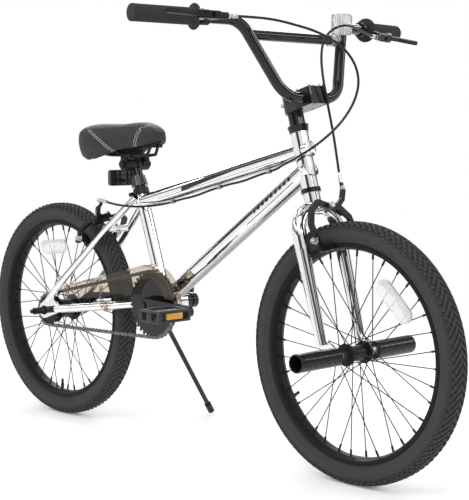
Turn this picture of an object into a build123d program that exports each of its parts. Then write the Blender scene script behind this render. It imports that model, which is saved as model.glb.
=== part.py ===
from build123d import *
from math import asin, atan2, cos, degrees, hypot, pi, radians, sin, sqrt
import os

# A 20-inch BMX bicycle with a coaster brake, two side-pull rim brakes, a kickstand and front pegs.
# +X is forward, +Y is the rider's left, +Z is up; the origin is on the ground midway between the
# wheel centres. The chain is on the right, at negative Y. All sizes are in millimetres.

os.makedirs("parts", exist_ok=True)

# ---- driving dimensions ---------------------------------------------------------------------
wheel_radius = 255.0
wheelbase = 925.0
head_angle = 74.2
fork_offset = 28.0
seat_angle = 71.0

tyre_width = 49.0
tyre_wall = 3.0
tread_half_width = 9.0
rim_radius = 213.5
rim_hole_radius = 201.0
rim_width = 33.5
rim_wall = 2.0
spoke_count = 36
spoke_radius = 1.0
nipple_radius = 2.2
nipple_length = 12.0
spoke_crossing = 3

head_tube_radius = 17.5
head_tube_length = 113.2
top_tube_radius = 15.9
down_tube_radius = 19.05
seat_tube_radius = 14.3
seat_tube_bore = 12.8
tube_wall = 1.4
chainstay_radius = 9.5
seatstay_radius = 8.0
bracket_shell_radius = 28.5
bracket_shell_bore = 25.5
bracket_shell_width = 68.0
dropout_thickness = 5.0
rear_dropout_inside = 55.0
front_dropout_inside = 50.0

steerer_radius = 14.3
blade_radius = 14.3
blade_end_radius = 10.5
blade_spread = 57.0
crown_height = 293.0
crown_bend = 50.0

chain_pitch = 12.7
chainring_teeth = 36
sprocket_teeth = 18
chain_links = 88
chain_line = 45.0
chain_plate_height = 8.4
chain_width = 9.0
sprocket_thickness = 3.0
roller_radius = 3.9

axle_radius = 4.75
rear_axle_half = 98.0
front_axle_half = 77.0
crank_length = 140.0
crank_inside = 62.0
crank_thickness = 14.0
spindle_radius = 11.0
pedal_length = 70.0
pedal_width = 95.0
pedal_height = 28.0
pedal_inside = 85.5
pedal_pin_radius = 6.0

bar_radius = 11.1
bar_wall = 2.0
crossbar_radius = 10.0
bar_reach = 50.0
bar_clamp_height = 504.0
grip_radius = 16.5
grip_flange_radius = 25.0
grip_length = 134.0
peg_radius = 18.0
peg_wall = 3.0
peg_length = 111.0

seatpost_radius = 12.7
seatpost_length = 215.0
cable_radius = 2.5
brake_bolt_radius = 3.0
brake_outboard = 40.0
arm_thickness = 7.0
pad_gap = 2.0
kickstand_length = 331.0
kickstand_radius = 5.5

# ---- named clearances -----------------------------------------------------------------------
running_gap = 0.05      # radial, between a turning part and its shaft
seat_gap = 0.03         # radial, between two parts that are pressed or clamped together
side_gap = 0.3          # between moving faces that pass each other
soft_gap = 0.3          # between padding and its carrier

LEFT = 1
RIGHT = -1
SIDES = (RIGHT, LEFT)
FROM_BASE = (Align.CENTER, Align.CENTER, Align.MIN)
ACROSS = Vector(0, 1, 0)

# ---- reference points -----------------------------------------------------------------------
rear_hub_at = Vector(-wheelbase / 2, 0, wheel_radius)
front_hub_at = Vector(wheelbase / 2, 0, wheel_radius)
steer_up = Vector(-cos(radians(head_angle)), 0, sin(radians(head_angle)))
steer_forward = Vector(sin(radians(head_angle)), 0, cos(radians(head_angle)))
steer_foot = front_hub_at - steer_forward * fork_offset

ring_radius = chain_pitch / (2 * sin(pi / chainring_teeth))
sprocket_radius = chain_pitch / (2 * sin(pi / sprocket_teeth))


def chain_length(centres):
    """Length of the chain's pitch line round the two toothed wheels."""
    lean = asin((ring_radius - sprocket_radius) / centres)
    straight = 2 * centres * cos(lean)
    return straight + pi * (ring_radius + sprocket_radius) + 2 * lean * (ring_radius - sprocket_radius)


chain_centres = 300.0
for step in range(40):
    chain_centres += (chain_links * chain_pitch - chain_length(chain_centres)) / 2

bracket_rise = 48.0
bracket_at = rear_hub_at + Vector(sqrt(chain_centres ** 2 - bracket_rise ** 2), 0, bracket_rise)
seat_up = Vector(-cos(radians(seat_angle)), 0, sin(radians(seat_angle)))
seat_tube_foot = bracket_at + Vector(-7, 0, 0)
seat_tube_length = 264.0
seat_tube_top = seat_tube_foot + seat_up * seat_tube_length


def on_fork(forward, side, up):
    """A point in the steering frame, measured from the front axle's height on the steering axis."""
    return steer_foot + steer_forward * forward + ACROSS * side + steer_up * up


# ---- modelling helpers ----------------------------------------------------------------------
def save(piece, name):
    """Label a finished piece and write its file."""
    piece.part.label = name
    export_step(piece.part, "parts/" + name + ".step")


def rod(start, end, radius, mode=Mode.ADD):
    """A round bar from one point to another."""
    run = Vector(*end) - Vector(*start)
    with Locations(Plane(origin=start, z_dir=run).location):
        Cylinder(radius, run.length, align=FROM_BASE, mode=mode)


def cone(start, end, start_radius, end_radius, mode=Mode.ADD):
    """A tapered bar from one point to another."""
    run = Vector(*end) - Vector(*start)
    with Locations(Plane(origin=start, z_dir=run).location):
        Cone(start_radius, end_radius, run.length, align=FROM_BASE, mode=mode)


def pipe(start, end, outer, inner):
    """A round tube from one point to another, with its bore cut a little past both ends."""
    rod(start, end, outer)
    over = (Vector(*end) - Vector(*start)).normalized()
    rod(Vector(*start) - over, Vector(*end) + over, inner, mode=Mode.SUBTRACT)


def bent_rod(points, bends, radius, mode=Mode.ADD):
    """A round bar along straight runs joined by arcs."""
    with BuildLine() as path:
        FilletPolyline(*points, radius=bends)
    with BuildSketch(Plane(origin=path.line @ 0, z_dir=path.line % 0)) as section:
        Circle(radius)
    sweep(section.sketch, path=path.line, mode=mode)


def bent_pipe(points, bends, outer, inner):
    """A round tube along straight runs joined by arcs."""
    with BuildLine() as path:
        FilletPolyline(*points, radius=bends)
    with BuildSketch(Plane(origin=path.line @ 0, z_dir=path.line % 0)) as section:
        Circle(outer)
        Circle(inner, mode=Mode.SUBTRACT)
    sweep(section.sketch, path=path.line)


def turned(origin, outline, mode=Mode.ADD):
    """Turn an outline of (radius, across) points about a line through origin along Y."""
    with BuildSketch(Plane(origin=origin, x_dir=(1, 0, 0), z_dir=(0, 0, 1))) as profile:
        with BuildLine():
            Polyline(*outline, close=True)
        make_face()
    revolve(profile.sketch, axis=Axis(origin, (0, 1, 0)), mode=mode)


def plate(inner_face, outer_face, shapes, mode=Mode.ADD):
    """A flat plate between two Y faces, hulled round (x, z, radius) circles."""
    with BuildSketch(Plane.XZ.offset(-inner_face)) as outline:
        for x, z, radius in shapes:
            with Locations((x, z)):
                Circle(radius)
        make_hull()
    extrude(outline.sketch, amount=inner_face - outer_face, mode=mode)


def bar_shape(plane, points, width, start, thickness, mode=Mode.ADD):
    """A flat forged arm of even width along a line of points in a plane, with rounded ends."""
    with BuildSketch(plane.offset(start)) as outline:
        for first, second in zip(points[:-1], points[1:]):
            with BuildSketch(plane.offset(start), mode=Mode.PRIVATE) as link:
                with Locations(first, second):
                    Circle(width / 2)
                make_hull()
            add(link.sketch_local)
    extrude(outline.sketch, amount=thickness, mode=mode)


# ---- frame tubes ----------------------------------------------------------------------------
lower_cup_height = 325.0
lower_cup_length = 9.3
head_tube_foot = on_fork(0, 0, lower_cup_height + lower_cup_length)
head_tube_top = on_fork(0, 0, lower_cup_height + lower_cup_length + head_tube_length)
top_tube_front = Vector(345, 0, 647.9)
top_tube_rear = Vector(-172, 0, 521.2)
down_tube_front = Vector(345, 0, 610.4)
down_tube_rear = bracket_at + Vector(0, 0, 10)

with BuildPart() as head_tube:
    pipe(head_tube_foot, head_tube_top, head_tube_radius, head_tube_radius - 2.5)
save(head_tube, "head_tube")

with BuildPart() as seat_tube:
    pipe(seat_tube_foot, seat_tube_top, seat_tube_radius, seat_tube_bore)
    rod(bracket_at - ACROSS * 50, bracket_at + ACROSS * 50, bracket_shell_radius, mode=Mode.SUBTRACT)
save(seat_tube, "seat_tube")

guide_fractions = (0.22, 0.5, 0.785)
top_tube_run = top_tube_rear - top_tube_front
guide_drop = top_tube_radius + 5.0
top_tube_down = Vector(0, 1, 0).cross(top_tube_run).normalized()
if top_tube_down.Z > 0:
    top_tube_down = top_tube_down * -1
guide_side = -6.0
with BuildPart() as top_tube:
    pipe(top_tube_front, top_tube_rear, top_tube_radius, top_tube_radius - tube_wall)
    rod(on_fork(0, 0, 300), on_fork(0, 0, 500), head_tube_radius, mode=Mode.SUBTRACT)
    rod(seat_tube_foot, seat_tube_top + seat_up * 40, seat_tube_radius, mode=Mode.SUBTRACT)
    for fraction in guide_fractions:
        middle = top_tube_front + top_tube_run * fraction + ACROSS * guide_side + top_tube_down * guide_drop
        along = top_tube_run.normalized() * 5
        rod(middle - along, middle + along, cable_radius + 1.8)
        rod(middle - top_tube_down * 8, middle - top_tube_down * 3, 1.8)
        rod(middle - along * 2, middle + along * 2, cable_radius + running_gap, mode=Mode.SUBTRACT)
    rod(top_tube_front, top_tube_rear, top_tube_radius - tube_wall, mode=Mode.SUBTRACT)
save(top_tube, "top_tube")

with BuildPart() as down_tube:
    pipe(down_tube_front, down_tube_rear, down_tube_radius, down_tube_radius - tube_wall)
    rod(on_fork(0, 0, 300), on_fork(0, 0, 500), head_tube_radius, mode=Mode.SUBTRACT)
    rod(bracket_at - ACROSS * 50, bracket_at + ACROSS * 50, bracket_shell_radius, mode=Mode.SUBTRACT)
    rod(seat_tube_foot, seat_tube_top, seat_tube_radius, mode=Mode.SUBTRACT)
save(down_tube, "down_tube")

shell_half = bracket_shell_width / 2
with BuildPart() as bracket_shell:
    pipe(bracket_at - ACROSS * shell_half, bracket_at + ACROSS * shell_half, bracket_shell_radius,
         bracket_shell_bore)
save(bracket_shell, "bottom_bracket_shell")

cup_depth = 12.0
cup_lip = 3.0
with BuildPart() as bracket_cups:
    for side in SIDES:
        outline = [
            (spindle_radius + running_gap, side * (shell_half - cup_depth)),
            (bracket_shell_bore - seat_gap, side * (shell_half - cup_depth)),
            (bracket_shell_bore - seat_gap, side * shell_half),
            (bracket_shell_radius - 1, side * shell_half),
            (bracket_shell_radius - 2, side * (shell_half + cup_lip)),
            (spindle_radius + running_gap, side * (shell_half + cup_lip)),
        ]
        turned(bracket_at, outline)
save(bracket_cups, "bottom_bracket_cups")

# ---- rear triangle --------------------------------------------------------------------------
rear_dropout_outside = rear_dropout_inside + dropout_thickness
chainstay_end = Vector(-415, 0, 262)
seatstay_end = Vector(-445, 0, 281)
rear_plate = [(rear_hub_at.X, rear_hub_at.Z, 19.0), (chainstay_end.X + 8, chainstay_end.Z, 8.0),
              (seatstay_end.X + 6, seatstay_end.Z + 5, 7.0)]


def rear_dropout(side, mode=Mode.ADD):
    """One rear dropout plate."""
    inner, outer = sorted((side * rear_dropout_inside, side * rear_dropout_outside))
    plate(inner, outer, rear_plate, mode=mode)


def stay_route(side):
    """Bends of one chainstay, from the bracket shell to the dropout."""
    return [(-95, side * 23, 302), (-165, side * 28.5, 294), (-240, side * 38, 284),
            (chainstay_end.X, side * 58, chainstay_end.Z)]


with BuildPart() as chainstays:
    for side in SIDES:
        bent_pipe(stay_route(side), [120, 120], chainstay_radius, chainstay_radius - tube_wall)
    rod((-180, -32, 292), (-180, 32, 292), 7.0)
    rod(bracket_at - ACROSS * 50, bracket_at + ACROSS * 50, bracket_shell_radius, mode=Mode.SUBTRACT)
    for side in SIDES:
        rear_dropout(side, mode=Mode.SUBTRACT)
        rear_dropout(side)
        inner, outer = sorted((side * 50, side * 65))
        with BuildSketch(Plane.XZ.offset(-inner)) as axle_slot:
            with Locations((rear_hub_at.X, rear_hub_at.Z)):
                Circle(axle_radius + 0.1)
            with Locations((rear_hub_at.X - 15, rear_hub_at.Z)):
                Rectangle(30, 2 * axle_radius + 0.2)
        extrude(axle_slot.sketch, amount=inner - outer, mode=Mode.SUBTRACT)
save(chainstays, "chainstays")

pad_radius = 207.5
brake_reach = 84.0
bridge_reach = sqrt(pad_radius ** 2 - brake_outboard ** 2) + brake_reach
bridge_angle = 45.0
bridge_up = Vector(cos(radians(bridge_angle)), 0, sin(radians(bridge_angle)))
bridge_out = Vector(-sin(radians(bridge_angle)), 0, cos(radians(bridge_angle)))
bridge_at = rear_hub_at + bridge_up * bridge_reach


def seatstay_route(side):
    """Bends of one seatstay, from the seat tube to the dropout."""
    return [(-172, side * 15, 534), (-262, side * 37, 452), (-395, side * 59, 327),
            (seatstay_end.X, side * 60, seatstay_end.Z)]


with BuildPart() as seatstays:
    for side in SIDES:
        bent_pipe(seatstay_route(side), [150, 150], seatstay_radius, seatstay_radius - tube_wall)
    rod(bridge_at - ACROSS * 36, bridge_at + ACROSS * 36, 8.0)
    rod(bridge_at - bridge_out * 20, bridge_at + bridge_out * 20, brake_bolt_radius + 0.05,
        mode=Mode.SUBTRACT)
    rod(seat_tube_foot, seat_tube_top + seat_up * 40, seat_tube_radius, mode=Mode.SUBTRACT)
    rod(top_tube_front, top_tube_rear, top_tube_radius, mode=Mode.SUBTRACT)
    for side in SIDES:
        rear_dropout(side, mode=Mode.SUBTRACT)
save(seatstays, "seatstays")

collar_height = 15.0
collar_radius = seat_tube_radius + 3.5
with BuildPart() as seat_clamp:
    foot = seat_tube_top - seat_up * collar_height
    pipe(foot, seat_tube_top, collar_radius, seat_tube_radius + seat_gap)
    middle = seat_tube_top - seat_up * (collar_height / 2)
    backward = Vector(-sin(radians(seat_angle)), 0, -cos(radians(seat_angle)))
    lug = middle + backward * (collar_radius + 3)
    rod(lug - ACROSS * 11, lug - ACROSS * 1.5, 5.5)
    rod(lug + ACROSS * 1.5, lug + ACROSS * 11, 5.5)
    rod(lug - ACROSS * 17, lug + ACROSS * 15, 2.5)
    rod(lug - ACROSS * 17, lug - ACROSS * 12, 4.5)
    rod(seat_tube_foot, seat_tube_top + seat_up * 2, seat_tube_radius + seat_gap, mode=Mode.SUBTRACT)
    for side in SIDES:
        bent_rod(seatstay_route(side), [150, 150], seatstay_radius + seat_gap, mode=Mode.SUBTRACT)
save(seat_clamp, "seat_clamp")

# ---- headset --------------------------------------------------------------------------------
cup_skirt = 8.0
upper_cup_foot = lower_cup_height + lower_cup_length + head_tube_length
upper_cup_length = 14.0
with BuildPart() as headset_cups:
    skirt_radius = head_tube_radius - 2.5 - seat_gap
    lower_top = lower_cup_height + lower_cup_length
    rod(on_fork(0, 0, lower_cup_height), on_fork(0, 0, lower_top), 20.0)
    rod(on_fork(0, 0, lower_cup_height), on_fork(0, 0, lower_top + cup_skirt), skirt_radius)
    cone(on_fork(0, 0, upper_cup_foot), on_fork(0, 0, upper_cup_foot + upper_cup_length), 19.0, 21.5)
    rod(on_fork(0, 0, upper_cup_foot - cup_skirt), on_fork(0, 0, upper_cup_foot), skirt_radius)
    rod(on_fork(0, 0, 300), on_fork(0, 0, 500), steerer_radius + running_gap, mode=Mode.SUBTRACT)
save(headset_cups, "headset_cups")

spacer_top = 487.0
stem_height = 38.0
steerer_top = spacer_top + stem_height
with BuildPart() as headset_nuts:
    foot = upper_cup_foot + upper_cup_length + 0.1
    pipe(on_fork(0, 0, foot), on_fork(0, 0, spacer_top), 15.9, steerer_radius + seat_gap)
save(headset_nuts, "headset_spacer")

# ---- fork -----------------------------------------------------------------------------------
blade_foot = 26.0
taper_start = 215.0
with BuildPart() as steerer:
    rod(on_fork(0, 0, crown_height), on_fork(0, 0, lower_cup_height - 0.1), 17.0)
    rod(on_fork(0, 0, crown_height), on_fork(0, 0, steerer_top), steerer_radius)
    rod(on_fork(0, 0, crown_height + 20), on_fork(0, 0, steerer_top + 2), 11.5, mode=Mode.SUBTRACT)
    rod(on_fork(0, -40, crown_height), on_fork(0, 40, crown_height), blade_radius, mode=Mode.SUBTRACT)
    rod(on_fork(-30, 0, crown_height - 2), on_fork(30, 0, crown_height - 2), 7.1, mode=Mode.SUBTRACT)
save(steerer, "fork_steerer")

front_plate_inner = front_dropout_inside
front_plate_outer = front_dropout_inside + dropout_thickness
leg_foot = on_fork(0, 0, blade_foot)


def front_dropout(side, mode=Mode.ADD):
    """One front dropout plate, from the leg's end to the axle."""
    inner, outer = sorted((side * front_plate_inner, side * front_plate_outer))
    upper = on_fork(0, 0, blade_foot + 12)
    shapes = [(front_hub_at.X, front_hub_at.Z, 13.0), (leg_foot.X, leg_foot.Z, 9.0), (upper.X, upper.Z, 5.0)]
    plate(inner, outer, shapes, mode=mode)


with BuildPart() as fork_blades:
    corners = [on_fork(0, -blade_spread, taper_start), on_fork(0, -blade_spread, crown_height),
               on_fork(0, blade_spread, crown_height), on_fork(0, blade_spread, taper_start)]
    bent_rod(corners, [crown_bend, crown_bend], blade_radius)
    for side in SIDES:
        cone(on_fork(0, side * blade_spread, taper_start), on_fork(0, side * blade_spread, blade_foot),
             blade_radius, blade_end_radius)
    rod(on_fork(-20, 0, crown_height - 2), on_fork(20, 0, crown_height - 2), brake_bolt_radius + 0.05,
        mode=Mode.SUBTRACT)
    for side in SIDES:
        front_dropout(side, mode=Mode.SUBTRACT)
        front_dropout(side)
    below = front_hub_at - Vector(0, 0, 20)
    for side in SIDES:
        inner, outer = sorted((side * 45, side * 60))
        with BuildSketch(Plane.XZ.offset(-inner)) as axle_slot:
            with Locations((front_hub_at.X, front_hub_at.Z)):
                Circle(axle_radius + 0.1)
            with Locations((front_hub_at.X, front_hub_at.Z - 10)):
                Rectangle(2 * axle_radius + 0.2, 20)
        extrude(axle_slot.sketch, amount=inner - outer, mode=Mode.SUBTRACT)
save(fork_blades, "fork_blades")

# ---- stem and handlebar ---------------------------------------------------------------------
bar_clamp_at = on_fork(bar_reach, 0, bar_clamp_height)
stem_plane = Plane(origin=on_fork(0, 0, spacer_top), x_dir=steer_forward, z_dir=steer_up)
stem_half_width = 26.0
clamp_half = 21.0
split_height = bar_clamp_height - spacer_top
bolt_spots = [(bar_reach + dx, dy) for dx in (-16.5, 16.5) for dy in (-15.0, 15.0)]

with BuildPart() as stem:
    with BuildSketch(stem_plane) as body_outline:
        Circle(20)
        with Locations((bar_reach, 0)):
            Rectangle(2 * clamp_half, 2 * stem_half_width)
        make_hull()
    extrude(body_outline.sketch, amount=split_height)
    rear_top = Plane(origin=stem_plane.origin + steer_up * split_height, x_dir=steer_forward, z_dir=steer_up)
    with BuildSketch(rear_top) as rear_outline:
        Circle(20)
        with Locations((16, 0)):
            Rectangle(20, 40)
    extrude(rear_outline.sketch, amount=stem_height - split_height)
    with BuildSketch(rear_top.offset(0.6)) as cap_outline:
        with Locations((bar_reach, 0)):
            RectangleRounded(2 * clamp_half, 2 * stem_half_width, 4)
    extrude(cap_outline.sketch, amount=18)
    rod(bar_clamp_at - ACROSS * 40, bar_clamp_at + ACROSS * 40, bar_radius + seat_gap, mode=Mode.SUBTRACT)
    rod(on_fork(0, 0, 470), on_fork(0, 0, 540), steerer_radius + seat_gap, mode=Mode.SUBTRACT)
    with BuildSketch(stem_plane.offset(-1)) as pinch_slot:
        with Locations((-20, 0)):
            Rectangle(24, 2)
    extrude(pinch_slot.sketch, amount=60, mode=Mode.SUBTRACT)
    for x, y in bolt_spots:
        rod(on_fork(x, y, 480), on_fork(x, y, 560), 3.05, mode=Mode.SUBTRACT)
    rod(on_fork(-17.5, -25, 507), on_fork(-17.5, 25, 507), 2.55, mode=Mode.SUBTRACT)
    for side in SIDES:
        rod(on_fork(-17.5, side * 10.9, 507), on_fork(-17.5, side * 25, 507), 4.3, mode=Mode.SUBTRACT)
save(stem, "stem")

with BuildPart() as stem_bolts:
    for x, y in bolt_spots:
        rod(on_fork(x, y, spacer_top + 1), on_fork(x, y, bar_clamp_height + 18.6), 3.0)
        rod(on_fork(x, y, bar_clamp_height + 18.6), on_fork(x, y, bar_clamp_height + 22.6), 4.8)
    rod(on_fork(-17.5, -14, 507), on_fork(-17.5, 14, 507), 2.5)
    rod(on_fork(-17.5, 11, 507), on_fork(-17.5, 15, 507), 4.2)
    rod(on_fork(-17.5, -15, 507), on_fork(-17.5, -11, 507), 4.2)
    pipe(on_fork(0, 0, steerer_top + 0.02), on_fork(0, 0, steerer_top + 4), 17.0, 3.2)
    rod(on_fork(0, 0, steerer_top - 16), on_fork(0, 0, steerer_top + 4.5), 3.1)
    rod(on_fork(0, 0, steerer_top - 16), on_fork(0, 0, steerer_top - 12), 11.5 - seat_gap)
save(stem_bolts, "stem_bolts")

riser_foot = Vector(bar_clamp_at.X, 75, bar_clamp_at.Z)
riser_top = Vector(294.5, 146, 892)
bar_end = Vector(248, 374, 895)


def mirrored(point, side):
    """A point moved to the given side."""
    return Vector(point.X, side * point.Y, point.Z)


bar_route = [mirrored(bar_end, RIGHT), mirrored(riser_top, RIGHT), mirrored(riser_foot, RIGHT),
             riser_foot, riser_top, bar_end]
bar_bends = [45.0, 55.0, 55.0, 45.0]
crossbar_fraction = 0.81
crossbar_end = riser_foot + (riser_top - riser_foot) * crossbar_fraction
with BuildPart() as handlebar:
    pipe(mirrored(crossbar_end, RIGHT), crossbar_end, crossbar_radius, crossbar_radius - bar_wall)
    bent_rod(bar_route, bar_bends, bar_radius, mode=Mode.SUBTRACT)
    bent_pipe(bar_route, bar_bends, bar_radius, bar_radius - bar_wall)
save(handlebar, "handlebar")


def along_bar(side, distance):
    """A point on the bar's centre line, measured inward from its end."""
    outward = (bar_end - riser_top).normalized()
    return mirrored(bar_end - outward * distance, side)


grip_cap = 2.5
with BuildPart() as grips:
    for side in SIDES:
        rod(along_bar(side, grip_length), along_bar(side, -grip_cap), grip_radius)
        rod(along_bar(side, grip_length), along_bar(side, grip_length - 5), grip_flange_radius)
        rod(along_bar(side, grip_length + 2), along_bar(side, 0), bar_radius + seat_gap, mode=Mode.SUBTRACT)
save(grips, "grips")

# ---- brake levers ---------------------------------------------------------------------------
lever_place = 152.0
lever_tilt = {RIGHT: 0.0, LEFT: 20.0}
lever_forward = 50.0
lever_outward = 34.0
lever_thickness = 8.0
ear_thickness = 3.0
lever_pin_radius = 2.5


def lever_plane(side):
    """The plane that a brake lever swings in, with its origin on the bar's centre line."""
    outward = mirrored((bar_end - riser_top).normalized(), side)
    level = Vector(0, 0, 1).cross(outward).normalized() * -side
    upward = level.cross(outward) * side
    tilt = radians(lever_tilt[side])
    ahead = level * cos(tilt) - upward * sin(tilt)
    return Plane(origin=along_bar(side, lever_place), x_dir=ahead, z_dir=ahead.cross(outward) * side)


def lever_point(side, ahead, outward, up=0.0):
    """A point measured from the lever clamp: ahead of the bar, outward along it, and up."""
    plane = lever_plane(side)
    return plane.origin + plane.x_dir * ahead + plane.y_dir * (side * outward) + plane.z_dir * up


with BuildPart() as lever_brackets:
    for side in SIDES:
        plane = lever_plane(side)
        rod(lever_point(side, 0, -8), lever_point(side, 0, 8), 15.0)
        with BuildSketch(plane.offset(-lever_thickness / 2 - side_gap - ear_thickness)) as bridge:
            with Locations((17, 0)):
                Rectangle(20, 14)
            with Locations((26, side * 2)):
                Circle(8)
            with Locations((lever_forward, side * 2)):
                Circle(8)
            make_hull()
        extrude(bridge.sketch, amount=lever_thickness + 2 * (side_gap + ear_thickness))
        for start in (-lever_thickness / 2 - side_gap - ear_thickness, lever_thickness / 2 + side_gap):
            bar_shape(plane, [(lever_forward, side * 2), (lever_forward, side * lever_outward)], 15.0, start,
                      ear_thickness)
        rod(lever_point(side, lever_forward, lever_outward, -7.3),
            lever_point(side, lever_forward, lever_outward, 7.3), lever_pin_radius)
        rod(lever_point(side, lever_forward + 2, 2), lever_point(side, lever_forward + 2, -20), 6.5)
        rod(lever_point(side, lever_forward + 2, -20), lever_point(side, lever_forward + 2, -27), 4.5)
        rod(lever_point(side, 0, -12), lever_point(side, 0, 12), bar_radius + seat_gap, mode=Mode.SUBTRACT)
save(lever_brackets, "lever_brackets")

lever_pivot = (lever_forward, lever_outward)
lever_tip = (72.0, 116.0)
for side, name in ((RIGHT, "lever_right"), (LEFT, "lever_left")):
    with BuildPart() as lever:
        route = [(lever_pivot[0], side * lever_pivot[1]), (54.0, side * 60.0), (66.0, side * 92.0),
                 (lever_tip[0], side * lever_tip[1])]
        bar_shape(lever_plane(side), route, 12.0, -lever_thickness / 2, lever_thickness)
        nose = [(lever_pivot[0], side * lever_pivot[1]), (lever_forward + 4, side * 19.0)]
        bar_shape(lever_plane(side), nose, 10.0, -lever_thickness / 2, lever_thickness)
        rod(lever_point(side, lever_forward, lever_outward, -9),
            lever_point(side, lever_forward, lever_outward, 9), lever_pin_radius + running_gap,
            mode=Mode.SUBTRACT)
    save(lever, name)

# ---- rim brakes -----------------------------------------------------------------------------
front_brake = Plane(origin=on_fork(0, 0, crown_height - 2), x_dir=(0, 1, 0), z_dir=steer_forward)
rear_brake = Plane(origin=bridge_at, x_dir=(0, -1, 0), z_dir=bridge_out)
c_arm_start = 30.0
y_arm_start = c_arm_start + arm_thickness + side_gap
pad_inner = rim_width / 2 + pad_gap
pad_thickness = 10.0
pad_height = 9.0
pad_length = 34.0
arm_foot = 38.0
adjuster_across = 46.0
adjuster_foot = 27.0
adjuster_top = 44.0


def brake_point(plane, across, up, out):
    """A point measured from a brake's centre bolt."""
    return plane.origin + plane.x_dir * across + plane.y_dir * up + plane.z_dir * out


def brake_shoe(plane, direction, start):
    """The rubber pad and its stud, below one arm."""
    middle = brake_point(plane, direction * (pad_inner + pad_thickness / 2), -brake_reach,
                         start + arm_thickness / 2)
    with Locations(Plane(origin=middle, x_dir=plane.x_dir, z_dir=plane.z_dir).location):
        Box(pad_thickness, pad_height, pad_length)
    rod(brake_point(plane, direction * (pad_inner + pad_thickness - 0.5), -brake_reach,
                    start + arm_thickness / 2),
        brake_point(plane, direction * (arm_foot + 12), -brake_reach, start + arm_thickness / 2), 3.2)
    rod(brake_point(plane, direction * (arm_foot + 6), -brake_reach, start + arm_thickness / 2),
        brake_point(plane, direction * (arm_foot + 10.5), -brake_reach, start + arm_thickness / 2), 5.5)


c_arm_route = [(0, 0), (-26, 8), (-47, -6), (-56, -34), (-50, -62), (-arm_foot, -brake_reach)]
c_arm_tail = [(0, 0), (18, -6), (38, -16)]
y_arm_route = [(0, 0), (24, -6), (48, -26), (56, -50), (arm_foot + 2, -brake_reach)]
y_arm_tail = [(20, -4), (38, 10), (adjuster_across, adjuster_foot)]
for plane, end in ((front_brake, "front"), (rear_brake, "rear")):
    with BuildPart() as c_arm:
        bar_shape(plane, c_arm_route, 12.0, c_arm_start, arm_thickness)
        bar_shape(plane, c_arm_tail, 11.0, c_arm_start, arm_thickness)
        brake_shoe(plane, -1, c_arm_start)
        rod(brake_point(plane, 0, 0, 20), brake_point(plane, 0, 0, 60), brake_bolt_radius + running_gap,
            mode=Mode.SUBTRACT)
    save(c_arm, end + "_brake_c_arm")
    with BuildPart() as y_arm:
        bar_shape(plane, y_arm_route, 12.0, y_arm_start, arm_thickness)
        bar_shape(plane, y_arm_tail, 10.0, y_arm_start, arm_thickness)
        brake_shoe(plane, 1, y_arm_start)
        middle = y_arm_start + arm_thickness / 2
        rod(brake_point(plane, adjuster_across, adjuster_foot, middle),
            brake_point(plane, adjuster_across, adjuster_top, middle), 4.0)
        rod(brake_point(plane, 0, 0, 20), brake_point(plane, 0, 0, 60), brake_bolt_radius + running_gap,
            mode=Mode.SUBTRACT)
    save(y_arm, end + "_brake_y_arm")
    with BuildPart() as centre_bolt:
        head = y_arm_start + arm_thickness + side_gap
        mount_radius = blade_radius if end == "front" else 8.0
        rod(brake_point(plane, 0, 0, -mount_radius - 9), brake_point(plane, 0, 0, head + 4), brake_bolt_radius)
        rod(brake_point(plane, 0, 0, head), brake_point(plane, 0, 0, head + 5), 6.0)
        rod(brake_point(plane, 0, 0, mount_radius + 0.05), brake_point(plane, 0, 0, c_arm_start - side_gap), 7.0)
        rod(brake_point(plane, 0, 0, -mount_radius - 7), brake_point(plane, 0, 0, -mount_radius - 0.05), 6.0)
    save(centre_bolt, end + "_brake_bolt")

# ---- wheels ---------------------------------------------------------------------------------
rim_half = rim_width / 2
bead_radius = 207.3
bead_half = rim_half - rim_wall - 0.1
tyre_half = tyre_width / 2


def make_tyre(hub):
    """The tyre's casing and crown, open towards the rim."""
    section_plane = Plane(origin=hub, x_dir=(1, 0, 0), z_dir=(0, 0, 1))
    shoulder = wheel_radius - 3.6
    with BuildSketch(section_plane) as section:
        with BuildLine():
            outside = Spline((rim_radius + 0.9, bead_half), (234, tyre_half), (shoulder, 17.5),
                             (wheel_radius, tread_half_width))
            crown = Line(outside @ 1, (wheel_radius, -tread_half_width))
            other = Spline(crown @ 1, (shoulder, -17.5), (234, -tyre_half), (rim_radius + 0.9, -bead_half))
            foot = Polyline(other @ 1, (bead_radius, -bead_half), (bead_radius, -bead_half + tyre_wall),
                            (rim_radius + 1.5, -bead_half + tyre_wall))
            inside = Spline(foot @ 1, (234, tyre_wall - tyre_half), (wheel_radius - 7.0, -13),
                            (wheel_radius - 5.5, 0), (wheel_radius - 7.0, 13), (234, tyre_half - tyre_wall),
                            (rim_radius + 1.5, bead_half - tyre_wall))
            Polyline(inside @ 1, (bead_radius, bead_half - tyre_wall), (bead_radius, bead_half),
                     (rim_radius + 0.9, bead_half))
        make_face()
    revolve(section.sketch, axis=Axis(hub, (0, 1, 0)))


def valve_line(hub, angle, radius):
    """A point on the valve's line at a radius from the hub."""
    return hub + Vector(cos(radians(angle)), 0, sin(radians(angle))) * radius


def make_tube(hub, angle):
    """The inner tube with its valve."""
    section_plane = Plane(origin=hub, x_dir=(1, 0, 0), z_dir=(0, 0, 1))
    with BuildSketch(section_plane) as outside:
        with Locations((231.2, 0)):
            Ellipse(16.5, 17.5)
    revolve(outside.sketch, axis=Axis(hub, (0, 1, 0)))
    rod(valve_line(hub, angle, 217), valve_line(hub, angle, 188), 4.0)
    with BuildSketch(section_plane) as inside:
        with Locations((231.2, 0)):
            Ellipse(15.3, 16.3)
    revolve(inside.sketch, axis=Axis(hub, (0, 1, 0)), mode=Mode.SUBTRACT)
    rod(valve_line(hub, angle, 188), valve_line(hub, angle, 176), 3.0)


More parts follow.
